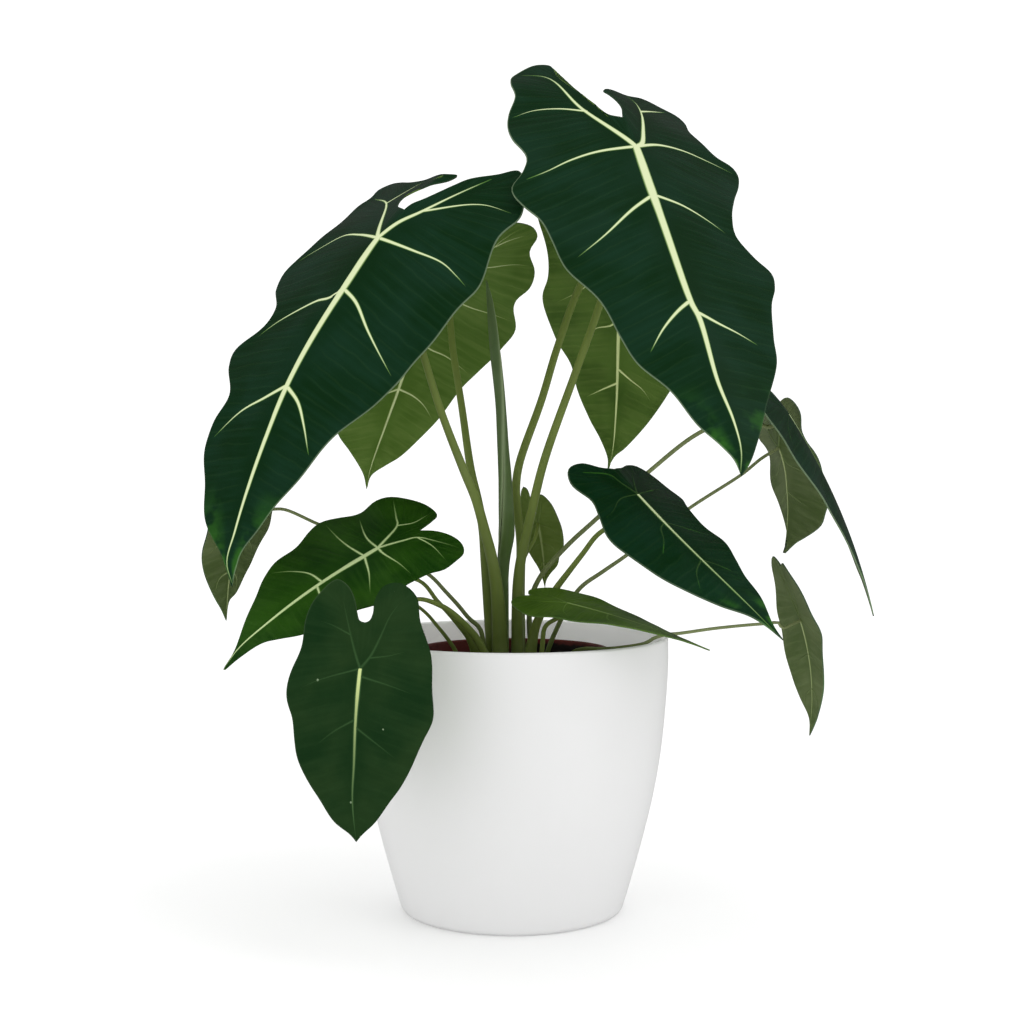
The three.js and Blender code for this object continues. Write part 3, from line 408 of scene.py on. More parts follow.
def blade_middle(leaf, along, out):
    """Points of a blade's middle surface."""
    midrib = np.zeros(along.shape + (3,)) + leaf["junction"]
    for i in range(MIDRIB_STEPS):
        midrib += blade_axes(leaf, along * (i + 0.5) / MIDRIB_STEPS)[0] * (along / MIDRIB_STEPS)[..., None]
    _, side, up = blade_axes(leaf, along)
    fold = np.radians(np.where(out < 0, *leaf["fold"]))
    height, length, offset = leaf["wave"]
    spread = np.abs(out) / (WAVE_WIDTH * leaf["length"])
    ripple = height * spread**2 * np.sin(2 * np.pi * (along + offset * np.sign(out)) / length)
    from_rib = out - rib_out(leaf, along)
    lift = np.sin(fold) * (np.hypot(from_rib, CREASE) - CREASE) + ripple
    lift += leaf["pucker"] * (1 - np.exp(-(from_veins(leaf, along, out) / leaf["pucker_reach"]) ** 2))
    return midrib + side * (out * np.cos(fold))[..., None] + up * lift[..., None]


def blade_point(leaf, along, out, height):
    """Points at a height above a blade's middle surface."""
    step = 0.2
    here = blade_middle(leaf, along, out)
    outward = blade_middle(leaf, along, out + step) - here
    onward = blade_middle(leaf, along + step, out) - here
    normal = np.cross(outward, onward)
    return here + normal / np.linalg.norm(normal, axis=-1, keepdims=True) * height[..., None]


def usual_veins(leaf):
    """The veins of a leaf, from its size and margins."""
    length = leaf["length"]
    veins = {"rib": [[(0, 0), (0.5 * length, 0), (0.98 * length, 0)]], "costa": [], "lateral": []}
    for sign, [half] in ((-1, leaf["left"]), (1, leaf["right"])):
        lobe = min(range(len(half)), key=lambda i: half[i][0])
        along, out = np.array(half[: lobe + 1][::-1]).T
        tip = np.array(half[lobe]) * (0.85, 0.9 * sign)
        veins["costa"].append([(0, 0), tuple(tip * (0.5, 0.6)), tuple(tip)])
        for start in (0, 0.3, 0.6):
            ends = [(start + 0.06) * length, (start + 0.17) * length]
            reach = [sign * share * np.interp(end, along, out) for share, end in zip((0.45, 0.85), ends)]
            veins["lateral"].append([(start * length, 0), *zip(ends, reach)])
    return veins


def read_leaf(row):
    """A row of the table as a dictionary, in which each kind of line has a list of lines."""
    leaf = dict(zip(FIELDS, row))
    for kind, points in re.findall("([a-z_]+)([^a-z_]+)", leaf["lines"]):
        leaf.setdefault(kind, []).append([tuple(map(float, point.split())) for point in points.split(",")])
    return leaf if "rib" in leaf else {**leaf, **usual_veins(leaf)}


LEAVES = {name: read_leaf(row) for name, row in LEAF_TABLE.items()}


# ---- Making meshes ------------------------------------------------------------------------
def only(*pieces):
    """Selects just these pieces, the first of them active."""
    bpy.ops.object.select_all(action="DESELECT")
    for piece in pieces:
        piece.select_set(True)
    bpy.context.view_layer.objects.active = pieces[0]


def edit(piece, *steps):
    """Runs mesh operators on the whole of a piece in edit mode."""
    only(piece)
    bpy.ops.object.mode_set(mode="EDIT")
    bpy.ops.mesh.select_all(action="SELECT")
    for operator, options in steps:
        operator(**options)
    bpy.ops.object.mode_set(mode="OBJECT")


def joined(name, pieces):
    """The pieces as one, named name."""
    only(*pieces)
    if len(pieces) > 1:
        bpy.ops.object.join()
    piece = bpy.context.object
    piece.name = piece.data.name = name
    return piece


def spots(numbers, columns, rows):
    """Column and row of each pair of shares in a flat array."""
    return np.rint(numbers.reshape(-1, 2).T * [[columns], [rows]]).astype(int)


def grid(name, columns, rows, place, **values):
    """A grid whose points are put where place(column, row) says, in millimetres. values are
    functions of column and row too, whose results are kept as attributes of the points."""
    bpy.ops.object.select_all(action="DESELECT")
    bpy.ops.mesh.primitive_grid_add(x_subdivisions=columns, y_subdivisions=rows, size=2)
    piece = joined(name, [bpy.context.object])
    mesh = piece.data
    flat = np.empty(len(mesh.vertices) * 3)
    mesh.vertices.foreach_get("co", flat)
    at = spots((flat.reshape(-1, 3)[:, :2] + 1) / 2, columns, rows)
    mesh.vertices.foreach_set("co", (place(*at) * MM).ravel())
    for key in ("vein", "edge"):
        value = np.zeros(len(mesh.vertices)) + (values[key](*at) if key in values else 0)
        mesh.attributes.new(key, "FLOAT", "POINT").data.foreach_set("value", value)
    mesh.update()
    return piece


def set_uv(piece, columns, rows, place):
    """Sets a grid's UV map, by place(column, row)."""
    layer = piece.data.uv_layers.active.data
    flat = np.empty(len(layer) * 2)
    layer.foreach_get("uv", flat)
    layer.foreach_set("uv", np.stack(place(*spots(flat, columns, rows)), axis=-1).ravel())


def closed_tube(name, sides, steps, place, **values):
    """A grid rolled up: columns go round it and rows along it. Its ends and its seam are closed."""
    piece = grid(name, sides, steps, place, **values)
    edit(
        piece,
        (bpy.ops.mesh.remove_doubles, {"threshold": 1e-6}),
        (bpy.ops.mesh.fill_holes, {"sides": 0}),
        (bpy.ops.mesh.normals_make_consistent, {"inside": False}),
    )
    return piece


def apply_modifier(piece, kind, **settings):
    only(piece)
    modifier = piece.modifiers.new(kind.title(), kind)
    for key, value in settings.items():
        setattr(modifier, key, value)
    bpy.ops.object.modifier_apply(modifier=modifier.name)


def finished(piece, node, slot, angle, *materials):
    """Shades a piece, and gives it its materials and its place in the frame."""
    only(piece)
    bpy.ops.object.shade_smooth_by_angle(angle=math.radians(angle))
    if materials:
        piece.data.materials.clear()
    for material in materials:
        piece.data.materials.append(material)
    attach(piece, "root")
    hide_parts(node)


# ---- Materials ----------------------------------------------------------------------------
def colour(red, green, blue):
    """A linear colour from screen values of 0 to 255."""
    values = [((c / 255 + 0.055) / 1.055) ** 2.4 if c > 10 else c / 255 / 12.92 for c in (red, green, blue)]
    return (*values, 1.0)


WHITE, BLACK = (1.0, 1.0, 1.0, 1.0), (0.0, 0.0, 0.0, 1.0)


class Value:
    """A number on a node's socket. Sums and products of it add Math nodes."""

    def __init__(self, finish, socket):
        self.finish = finish
        self.socket = socket

    def math(self, operation, other):
        return self.finish.node("ShaderNodeMath", {"operation": operation}, {0: self, 1: other})

    def __add__(self, other):
        return self.math("ADD", other)

    def __mul__(self, other):
        return self.math("MULTIPLY", other)

    __radd__ = __add__
    __rmul__ = __mul__


class Finish:
    """A material of one Principled shader, with the nodes that vary its inputs."""

    def __init__(self, name, roughness, specular):
        self.material = bpy.data.materials.new(name)
        self.material.use_nodes = True
        self.tree = self.material.node_tree
        self.shader = next(n for n in self.tree.nodes if n.type == "BSDF_PRINCIPLED")
        self.set("Roughness", roughness)
        self.set("Specular IOR Level", specular)

    def node(self, kind, settings, inputs, output=0):
        made = self.tree.nodes.new(kind)
        for key, value in settings.items():
            setattr(made, key, value)
        for key, value in inputs.items():
            self.put(made.inputs[key], value)
        return Value(self, made.outputs[output])

    def put(self, socket, value):
        if isinstance(value, Value):
            self.tree.links.new(value.socket, socket)
        else:
            socket.default_value = value

    def set(self, key, value):
        self.put(self.shader.inputs[key], value)

    def place(self):
        return self.node("ShaderNodeTexCoord", {}, {}, "Object")

    def attribute(self, name):
        return self.node("ShaderNodeAttribute", {"attribute_name": name}, {}, "Fac")

    def parts(self, vector):
        """The three numbers of a vector."""
        split = self.node("ShaderNodeSeparateXYZ", {}, {0: vector})
        return [Value(self, output) for output in split.socket.node.outputs]

    def uv(self):
        """The UV map, and its two numbers."""
        both = self.node("ShaderNodeUVMap", {"uv_map": "UVMap"}, {})
        return (both, *self.parts(both)[:2])

    def noise(self, scale, detail=3.0, vector=None, stretch=None):
        vector = vector or self.place()
        if stretch:
            vector = self.node("ShaderNodeVectorMath", {"operation": "MULTIPLY"}, {0: vector, 1: stretch})
        return self.node("ShaderNodeTexNoise", {}, {"Vector": vector, "Scale": scale, "Detail": detail})

    def step(self, value, low, high, start=0.0, end=1.0):
        """A soft step in value from low to high."""
        inputs = {"Value": value, "From Min": low, "From Max": high, "To Min": start, "To Max": end}
        return self.node("ShaderNodeMapRange", {"interpolation_type": "SMOOTHSTEP"}, inputs)

    def mix(self, share, first, second):
        """A mix of two colours, each of them a node's or three screen values or four linear ones."""
        first, second = (colour(*c) if isinstance(c, tuple) and len(c) == 3 else c for c in (first, second))
        return self.node("ShaderNodeMix", {"data_type": "RGBA"}, {0: share, 6: first, 7: second}, 2)

    def bump(self, height, distance, strength):
        """Relief of height times distance, in metres."""
        inputs = {"Height": height, "Distance": distance, "Strength": strength}
        self.set("Normal", self.node("ShaderNodeBump", {}, inputs))


def blade_finish(name, above):
    """A blade's face: drifting shades, fine side veins, the pale veins and the thin margin, which is partly a
    painted highlight.
    """
    first, second, third, halo, pale = BLADE_SHADES[name]
    finish = Finish("blade_" + name, 0.42 if above else 0.55, 0.1 if above else 0.15)
    drift = finish.step(finish.noise(28.0, 4.0), 0.35, 0.68)
    shade = finish.mix(drift, first, second)
    surface, round_margin, share = finish.uv()
    wander = finish.noise(60.0, 2.0) * 0.6
    fade = finish.step(share, 0.05, 0.35)
    fine = finish.step((round_margin + wander).math("PINGPONG", 0.5), 0.0, 0.12, 1.0, 0.0) * fade
    streaks = finish.step(finish.noise(2.2, 3.0, surface, (1.0, 0.35, 0.0)), 0.35, 0.7) * fade
    # Streaks of the third shade. They are stronger on the underside, where they also paint the light and
    # shade of the banding between the veins.
    shade = finish.mix(streaks * (0.22 if above else 0.36), shade, third)
    shade = finish.mix(fine * (0.025 if above else 0.16), shade, halo)
    if name == "dark":
        near_tip = finish.step(round_margin, 1.5, 8.0, 1.0, 0.0) * finish.step(share, 0.3, 0.8)
        patches = finish.step(finish.noise(70.0), 0.42, 0.6) * near_tip
        shade = finish.mix(patches * 0.8, shade, YOUNG_GREEN)
    if name == "speckled":
        shade = finish.mix(finish.step(finish.noise(330.0, 0.0), 0.845, 0.87) * 0.8, shade, MARGIN)
    vein = finish.attribute("vein")
    shade = finish.mix(finish.step(vein, 0.0, 0.5), shade, halo)
    shade = finish.mix(finish.step(vein, 0.4, 0.85), shade, pale)
    # The pale margin: partly the blade's own edge, partly a painted highlight.
    finish.set("Base Color", finish.mix(finish.attribute("edge"), shade, MARGIN))
    grain = finish.step(finish.noise(900.0, 2.0), 0.3, 0.75)
    finish.bump(fine * 0.5 + streaks * 0.6 + grain * 0.1, 0.00022, 0.6)
    return finish.material


def stem_finish(name, low, high, rise, streak, blotch, edge):
    """A smooth stem: low colour at the foot, high further up, with fine long streaks."""
    finish = Finish(name, 0.42, 0.15)
    _, _, up = finish.uv()
    scale, stretch, share, streak_colour = streak
    streaks = finish.step(finish.noise(scale, stretch=(1.0, 1.0, stretch)), 0.3, 0.7)
    shade = finish.mix(finish.step(up, *rise), low, high)
    shade = finish.mix(streaks * share, shade, streak_colour)
    scale, start, share, blotch_colour = blotch
    shade = finish.mix(finish.step(finish.noise(scale), start, start + 0.25) * share, shade, blotch_colour)
    finish.set("Base Color", finish.mix(finish.attribute("edge") * edge[0], shade, edge[1]))
    finish.bump(streaks, 0.0003, 0.4)
    return finish.material


def pot_finish(settings):
    """Matte white glaze with a faint unevenness; its inside is painted paler and glows faintly, painted light
    on the shaded inner wall.
    """
    finish = Finish("pot_white", 0.5, 0.3)
    cloud = finish.step(finish.noise(9.0, 2.0), 0.3, 0.7)
    shade = finish.mix(cloud * 0.6, settings.colour, (*(0.965 * c for c in settings.colour[:3]), 1.0))
    # Painted light: the inside of the wall gets a paler colour, to lighten it where the plant shades it.
    inside = finish.attribute("inside")
    finish.set("Base Color", finish.mix(inside, shade, settings.inside_painted_light_colour))
    # Painted light: the inside of the wall glows faintly, standing in for light on the shaded inner wall.
    finish.set("Emission Color", finish.mix(inside, BLACK, WHITE))
    finish.set("Emission Strength", settings.inside_painted_glow)
    grain = finish.noise(1100.0, 2.0)
    finish.set("Roughness", 0.46 + 0.1 * grain)
    finish.bump(grain, 0.00006, 0.5)
    return finish.material


def liner_finish(settings, top):
    """Moulded brown-red plastic, dusty with soil, which clings to it under the rim on one side."""
    finish = Finish("liner_plastic", 0.48, 0.2)
    dust = finish.step(finish.noise(120.0, 5.0), 0.45, 0.75)
    right, _, up = finish.parts(finish.place())
    clods = finish.noise(260.0, 5.0)
    low = finish.step(up + 6 * MM * clods, top - 1 * MM, top + 1.5 * MM, 1.0, 0.0)
    soiled = low * finish.step(right + 30 * MM * clods, 10 * MM, 22 * MM)
    shade = finish.mix(dust * 0.5, settings.liner_colour, (44, 24, 20))
    finish.set("Base Color", finish.mix(soiled, shade, settings.liner_dirt))
    finish.set("Roughness", 0.42 + 0.3 * dust)
    finish.bump(finish.noise(1400.0, 2.0), 0.0001, 0.4)
    return finish.material


def soil_finish(name, first, second):
    """Crumbly soil or bark, of two colours."""
    finish = Finish(name, 0.92, 0.2)
    lumps = finish.step(finish.noise(240.0, 6.0), 0.35, 0.7)
    finish.set("Base Color", finish.mix(lumps, first, second))
    finish.bump(finish.noise(700.0, 6.0), 0.0012, 0.8)
    return finish.material


# ---- Leaves -------------------------------------------------------------------------------
def half_columns(leaf, sign):
    """Rib and margin points that face each other on one half, from the tip to the sinus."""
    side = "right" if sign > 0 else "left"
    corners = [(leaf["length"], 0), *leaf[side][0], (-leaf["sinus"], 0)]
    margin = smooth_line(corners, PER_CORNER)
    [hook] = leaf.get(side + "_hook", [None])
    if hook:
        lobe = min(range(len(corners)), key=lambda i: math.dist(corners[i], hook[-1]))
    else:
        lobe = min(range(len(corners)), key=lambda i: corners[i][0])
    lobe *= PER_CORNER
    first = int(np.argmax(margin[:, 0] < FIRST_VEIN_SLOPE * margin[:, 1]))
    to_first, to_lobe, to_sinus = margin[: first + 1], margin[first : lobe + 1], margin[lobe:]
    main = max(FEWEST_AT_MIDRIB, round(leaf["length"] / MIDRIB_SPACING))
    outer = max(FEWEST_IN_LOBE, round(distances(to_lobe)[-1] / LOBE_SPACING))
    edge = np.vstack([evenly(to_first, main), evenly(to_lobe, outer)[1:], evenly(to_sinus, outer)[1:]])
    along = np.linspace(leaf["length"], 0, main + 1)
    midrib = np.stack([along, sign * rib_out(leaf, along)], axis=1)
    costa = evenly([(0, 0), *(hook or [LOBE_RIB * margin[lobe]])], outer)
    return np.vstack([midrib, costa[1:], costa[-2::-1]]), edge


def half_blade(leaf, name, sign):
    """One half of a blade as a sheet, its upper side up."""
    ribs, edge = half_columns(leaf, sign)
    last = len(ribs) - 1
    width = np.linalg.norm(edge - ribs, axis=1)
    strip_at = np.maximum(1 - MARGIN_STRIP / np.maximum(width, 2), 0.6)
    travelled = distances(edge)

    def share_of(column, row):
        return np.where(row == BLADE_ROWS, 1.0, (row / (BLADE_ROWS - 1)) ** ROW_CROWDING * strip_at[column])

    def place(column, row):
        flat = ribs[column] + share_of(column, row)[:, None] * (edge[column] - ribs[column])
        return blade_middle(leaf, flat[:, 0], sign * flat[:, 1])

    # How pale the margin row is: partly the blade's own edge, partly a painted highlight, set for each half.
    def pale_margin_and_highlight(column, row):
        return leaf["margin_paleness_and_highlight"][sign > 0] * (row == BLADE_ROWS)

    def unwrapped(column, row):
        return travelled[column] / VEIN_SPACING, share_of(column, row)

    piece = grid(name, last, BLADE_ROWS, place, edge=pale_margin_and_highlight)
    set_uv(piece, last, BLADE_ROWS, unwrapped)
    if sign < 0:
        edit(piece, (bpy.ops.mesh.flip_normals, {}))
    return piece


def vein_piece(leaf, kind, points, face):
    """A vein as a thin raised ridge, on the upper (1) or the lower (-1) face."""
    line = smooth_line(points, 8)
    steps = max(6, round(distances(line)[-1] / VEIN_STEP))
    line = evenly(line, steps)
    course = directions(line)
    share = np.linspace(0, 1, steps + 1)
    full = leaf["rib_width"] * VEIN_WIDTHS[kind] * (1.0 if face > 0 else 0.9)
    half_width = 0.5 * full * (np.interp(share, *RIB_TAPER) if kind == "rib" else 1 - SIDE_TAPER * share)
    half_width[-1] *= 0.3
    height = ((0.1 + 0.05 * full) if face > 0 else (0.15 + 0.22 * full)) * (1 - 0.8 * share**1.5)
    lost = leaf["rib_loss"] * share**0.4 if kind == "rib" else 0.5 * share**2
    pale = (1 if kind == "rib" else leaf["side_paleness"]) * (1 - lost)
    pale = pale * np.interp(share, [0, 0.86, 1], [1, 1, 0.5])
    surface = 0.5 * leaf["thickness"]
    corners = len(VEIN_SECTION)

    def place(corner, step):
        corner = corner % corners
        offset, rise, _ = VEIN_SECTION[corner].T
        halo = np.where((corner == 0) | (corner == corners - 2), HALO * (1 - 0.6 * share[step]), 0)
        across = offset * (half_width[step] + halo)
        along = line[step, 0] - course[step, 1] * across
        out = line[step, 1] + course[step, 0] * across
        above = np.where(rise > -1, surface + rise * height[step], surface - VEIN_ROOT)
        return blade_point(leaf, along, out, face * above)

    def vein(corner, step):
        return pale[step] * VEIN_SECTION[corner % corners, 2]

    return closed_tube("vein", corners, steps, place, vein=vein)


def make_blade(name, settings, materials):
    size = LEAVES[name]["length"] / LARGE_LENGTH
    leaf = {
        **LEAVES[name], "thickness": settings.thickness / MM, "pucker": settings.pucker / MM * size,
        "pucker_reach": PUCKER_REACH * size**0.5,
    }
    finishes = [materials[leaf["above"]], materials[leaf["below"]]]
    sheet = joined("sheet", [half_blade(leaf, "half", sign) for sign in (1, -1)])
    edit(sheet, (bpy.ops.mesh.remove_doubles, {"threshold": 1e-6}))
    for material in finishes:
        sheet.data.materials.append(material)
    apply_modifier(sheet, "SOLIDIFY", thickness=settings.thickness, offset=0.0, material_offset=1)
    for face, material in zip((1, -1), finishes):
        ridges = joined("veins", [
            vein_piece(leaf, kind, line, face) for kind in VEIN_WIDTHS for line in leaf.get(kind, ())])
        ridges.data.materials.append(material)
        sheet = joined(name + "_blade", [sheet, ridges])
    finished(sheet, "blade_" + name, "blade", 50)


# ---- Stems --------------------------------------------------------------------------------
def from_soil(route):
    """A route whose first point gives only the place in the soil, with its foot added."""
    (x, y), *rest = route
    return [(x, y, SOIL_TOP - FOOT_DEPTH), (x, y, SOIL_TOP), *rest]


def stem_tube(name, route, radius_at, edge_at, turns=0.0):
    """A tube along a route. radius_at and edge_at take the angle round it, which starts away from
    the plant's middle, and the share along it."""
    line = smooth_line(route)
    steps = round(distances(line)[-1] / STEM_STEP)
    centres = evenly(line, steps)
    ahead = directions(centres)
    across = np.array([centres[0, 0], centres[0, 1] - 1e-3, 0.0])
    first = np.empty_like(centres)
    for i, direction in enumerate(ahead):
        across = across - direction * across.dot(direction)
        across = across / np.linalg.norm(across)
        first[i] = across
    second = np.cross(ahead, first)

    def place(side, step):
        angle = 2 * np.pi * (side / STEM_SIDES + turns * step / steps)[:, None]
        radius = radius_at(2 * np.pi * side / STEM_SIDES, step / steps)[:, None]
        return centres[step] + radius * (np.cos(angle) * first[step] + np.sin(angle) * second[step])

    def edge(side, step):
        return edge_at(2 * np.pi * side / STEM_SIDES, step / steps)

    return closed_tube(name, STEM_SIDES, steps, place, edge=edge)


def petiole_tube(name, settings):
    """A petiole: a channelled stem with an open sheath at its foot."""
    leaf = LEAVES[name]
    up = blade_axes(leaf, np.zeros(1))[2][0]
    route = [*from_soil(leaf["route"][0]), *(leaf["junction"] - below * up for below in (leaf["neck"], 0.5))]
    foot, top = leaf["radius"]

    def sheath(share):
        return np.clip(1 - share / settings.sheath, 0, 1) ** 0.7

    def radius_at(angle, share):
        plain = top + (foot - top) * (1 - share) ** PETIOLE_TAPER
        from_channel = np.abs(angle - np.pi)
        channel = (0.08 + 0.3 * sheath(share)) * np.exp(-((from_channel / 0.5) ** 2))
        lip = 0.1 * sheath(share) * np.exp(-(((from_channel - 0.85) / 0.24) ** 2))
        return plain * (1 - channel + lip)

    def edge_at(angle, share):
        return sheath(share) ** 0.5 * np.exp(-(((np.abs(angle - np.pi) - 0.85) / 0.16) ** 2))

    return stem_tube(name, route, radius_at, edge_at)


def make_rolled_leaf(settings):
    at, size = np.array(NEW_LEAF_RADIUS).T

    def rolled(share):
        return np.clip((share - 0.3) / 0.12, 0, 1)

    def radius_at(angle, share):
        return np.interp(share, at, size) * (1 - ROLL_STEP * rolled(share) * (1 - angle / (2 * np.pi)))

    def edge_at(angle, share):
        from_seam = np.minimum(angle, 2 * np.pi - angle)
        return rolled(share) * np.exp(-((from_seam / 0.3) ** 2))

    piece = stem_tube("rolled_leaf", from_soil(NEW_LEAF_ROUTE), radius_at, edge_at, settings.roll_turns)
    finished(piece, "new_leaf", "new_leaf", 50, stem_finish("new_leaf", ROLL_LOW, ROLL_HIGH, *ROLL_LOOKS))


# ---- Pots and soil ------------------------------------------------------------------------
def turned(name, profile, sides):
    """A filled circle that is extruded and resized, ring by ring, along a profile of radius and
    height in millimetres."""
    (radius, height), *rest = [(r * MM, z * MM) for r, z in profile]
    bpy.ops.object.select_all(action="DESELECT")
    bpy.ops.mesh.primitive_circle_add(
        vertices=sides, radius=radius, fill_type="NGON", location=(0, 0, height))
    piece = joined(name, [bpy.context.object])
    bpy.ops.object.transform_apply(location=True, rotation=False, scale=False)
    bpy.ops.object.mode_set(mode="EDIT")
    bpy.ops.mesh.select_all(action="SELECT")
    for next_radius, next_height in rest:
        bpy.ops.mesh.extrude_region_move(TRANSFORM_OT_translate={"value": (0, 0, next_height - height)})
        size = next_radius / radius
        bpy.ops.transform.resize(value=(size, size, 1), center_override=(0, 0, next_height))
        radius, height = next_radius, next_height
    bpy.ops.object.mode_set(mode="OBJECT")
    edit(piece, (bpy.ops.mesh.normals_make_consistent, {"inside": False}))
    return piece


def arc(centre, radius, start, end, count):
    """Points of an arc, with angles in degrees."""
    angles = np.radians(np.linspace(start, end, count))
    return [(centre[0] + radius * math.cos(a), centre[1] + radius * math.sin(a)) for a in angles]


def make_pot(settings):
    outside = smooth_line(POT_OUTSIDE, 5)
    bend = POT_WALL / 2
    rim = arc((POT_OUTSIDE[-1][0] - bend, POT_HEIGHT - bend), bend, 0, 180, 11)
    inside = [(r - POT_WALL, z) for r, z in outside if z > POT_FLOOR + 10][::-1][1:]
    corner = arc((58, POT_FLOOR + 8), 8, 0, -90, 7)
    piece = turned("pot", [*POT_FOOT, *outside[:-1], *rim, *inside, *corner, (30, POT_FLOOR)], 180)
    # Marks the inside of the wall, where the pot's finish paints light: a paler colour and a faint glow.
    x, y, z = np.array([v.co for v in piece.data.vertices]).T / MM
    within = np.hypot(x, y) < np.interp(z, outside[:, 1], outside[:, 0]) - 0.6 * POT_WALL
    piece.data.attributes.new("inside", "FLOAT", "POINT").data.foreach_set("value", within.astype(float))
    finished(piece, "outer_pot", "pot", 60, pot_finish(settings))


def make_liner(settings):
    low, high = (corner[2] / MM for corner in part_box("nursery_pot"))
    profile = [
        (20, low), (LINER_FOOT - 2, low), (LINER_FOOT, low + 2), (LINER_TOP - 0.1, high - LINER_LIP),
        (LINER_LIP_RADIUS - 0.4, high - LINER_LIP), (LINER_LIP_RADIUS, high - LINER_LIP + 0.4),
        *arc((LINER_LIP_RADIUS - 0.8, high - 0.8), 0.8, 0, 90, 5), (LINER_TOP + 0.2, high),
        (LINER_TOP - 0.6, high - 0.8), (LINER_TOP - LINER_WALL, high - LINER_LIP),
        (LINER_FOOT - LINER_WALL, low + 3),
        (LINER_FOOT - LINER_WALL - 2, low + LINER_WALL), (20, low + LINER_WALL),
    ]
    piece = turned("liner", profile, 120)
    drills = []
    for i in range(DRAIN_HOLES):
        angle = 2 * math.pi * i / DRAIN_HOLES
        place = Vector((DRAIN_OUT * math.cos(angle), DRAIN_OUT * math.sin(angle), low)) * MM
        bpy.ops.mesh.primitive_cylinder_add(
            vertices=24, radius=DRAIN_RADIUS * MM, depth=8 * MM, location=place)
        drills.append(bpy.context.object)
    drill = joined("drill", drills)
    apply_modifier(piece, "BOOLEAN", object=drill, operation="DIFFERENCE")
    bpy.data.objects.remove(drill)
    finished(piece, "nursery_pot", "liner", 35, liner_finish(settings, high * MM))


def soil_height(x, y):
    """The soil's uneven top."""
    radius = np.hypot(x, y)
    lumps = sum(size * np.sin(x / a + phase) * np.sin(y / b + 2 * phase) for size, a, b, phase in SOIL_WAVES)
    return SOIL_TOP - 1 + SOIL_MOUND * (1 - (radius / SOIL_RADIUS) ** 2) + lumps * np.clip(radius / 6, 0, 1)


def make_soil(settings):
    """The potting soil: an uneven top over a plain block, covered in crumbs and bits of bark."""
    random = np.random.default_rng(SEED)
    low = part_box("soil")[0][2] / MM

    def place(side, ring):
        top = SOIL_RADIUS * np.clip((SOIL_RINGS - ring) / (SOIL_RINGS - 2), 0, 1)
        radius = np.select([ring == 0, ring == 1], [0, SOIL_FOOT], top)
        x, y = (radius * f(2 * np.pi * side / SOIL_SIDES) for f in (np.cos, np.sin))
        return np.stack([x, y, np.where(ring < 2, low, soil_height(x, y))], axis=-1)

    ground = closed_tube("ground", SOIL_SIDES, SOIL_RINGS, place)
    kinds = []
    for _ in range(CRUMB_KINDS):
        bpy.ops.object.select_all(action="DESELECT")
        bpy.ops.mesh.primitive_ico_sphere_add(subdivisions=2, radius=1.0)
        kinds.append(bpy.context.object)
        for vertex in kinds[-1].data.vertices:
            vertex.co *= 1 + random.uniform(-0.22, 0.22)
    crumbs, chips = [], []
    for _ in range(settings.crumbs):
        radius, angle = (SOIL_RADIUS - 2) * math.sqrt(random.uniform(0, 1)), random.uniform(0, 2 * math.pi)
        x, y = radius * math.cos(angle), radius * math.sin(angle)
        size = random.uniform(0.6, 2.0)
        is_bark = random.uniform() < BARK_SHARE
        stretch = (2.2, 1.0, 0.6) if is_bark else (1.0, 1.0, 0.8)
        turn = Euler([random.uniform(-0.5, 0.5), random.uniform(-0.5, 0.5), random.uniform(0, 6.28)])
        spot = Vector((x, y, float(soil_height(x, y)) + 0.2 * size)) * MM
        crumb = kinds[int(random.integers(len(kinds)))].copy()
        crumb.data = crumb.data.copy()
        scale = Matrix.Diagonal((*(s * size * MM for s in stretch), 1.0))
        crumb.data.transform(Matrix.Translation(spot) @ turn.to_matrix().to_4x4() @ scale)
        bpy.context.collection.objects.link(crumb)
        (chips if is_bark else crumbs).append(crumb)
    for kind in kinds:
        bpy.data.objects.remove(kind)
    ground = joined("potting_soil", [ground, *crumbs])
    ground.data.materials.append(soil_finish("soil", settings.colour, (46, 34, 28)))
    bark = joined("chips", chips)
    bark.data.materials.append(soil_finish("bark", (52, 32, 22), (86, 58, 40)))
    finished(joined("potting_soil", [ground, bark]), "soil", "soil", 50)


# ---- The user's settings ------------------------------------------------------------------
def colour_setting(name, description, default):
    return bpy.props.FloatVectorProperty(
        name=name, description=description, subtype="COLOR", size=4, min=0.0, max=1.0, default=default)


def size_setting(name, description, default, low, high):
    return bpy.props.FloatProperty(
        name=name, description=description, default=default, min=low, max=high,
        subtype="DISTANCE", unit="LENGTH")


def number_setting(name, description, default, low, high):
    return bpy.props.FloatProperty(
        name=name, description=description, default=default, min=low, max=high, subtype="FACTOR")


class AlocasiaPotSettings(bpy.types.PropertyGroup):
    colour: colour_setting("Pot", "Colour of the outer pot", (0.78, 0.78, 0.78, 1.0))
    # Painted light: the paler colour of the pot's inside lightens the shaded inner wall.
    inside_painted_light_colour: colour_setting("Inside", "Colour of the outer pot's inside", (0.92, 0.92, 0.92, 1.0))
    # Painted light: a faint glow of the pot's inside, standing in for light on the shaded inner wall.
    inside_painted_glow: number_setting("Light through", "Light that passes the outer pot's wall", 0.1, 0.0, 1.0)
    liner_colour: colour_setting("Nursery pot", "Colour of the nursery pot", colour(96, 38, 34))
    liner_dirt: colour_setting("Dirt", "Soil that clings to the nursery pot", colour(26, 20, 18))


class AlocasiaSoilSettings(bpy.types.PropertyGroup):
    colour: colour_setting("Soil", "Colour of the soil", colour(26, 20, 18))
    crumbs: bpy.props.IntProperty(name="Crumbs", description="Loose crumbs on the soil", default=420, min=50)


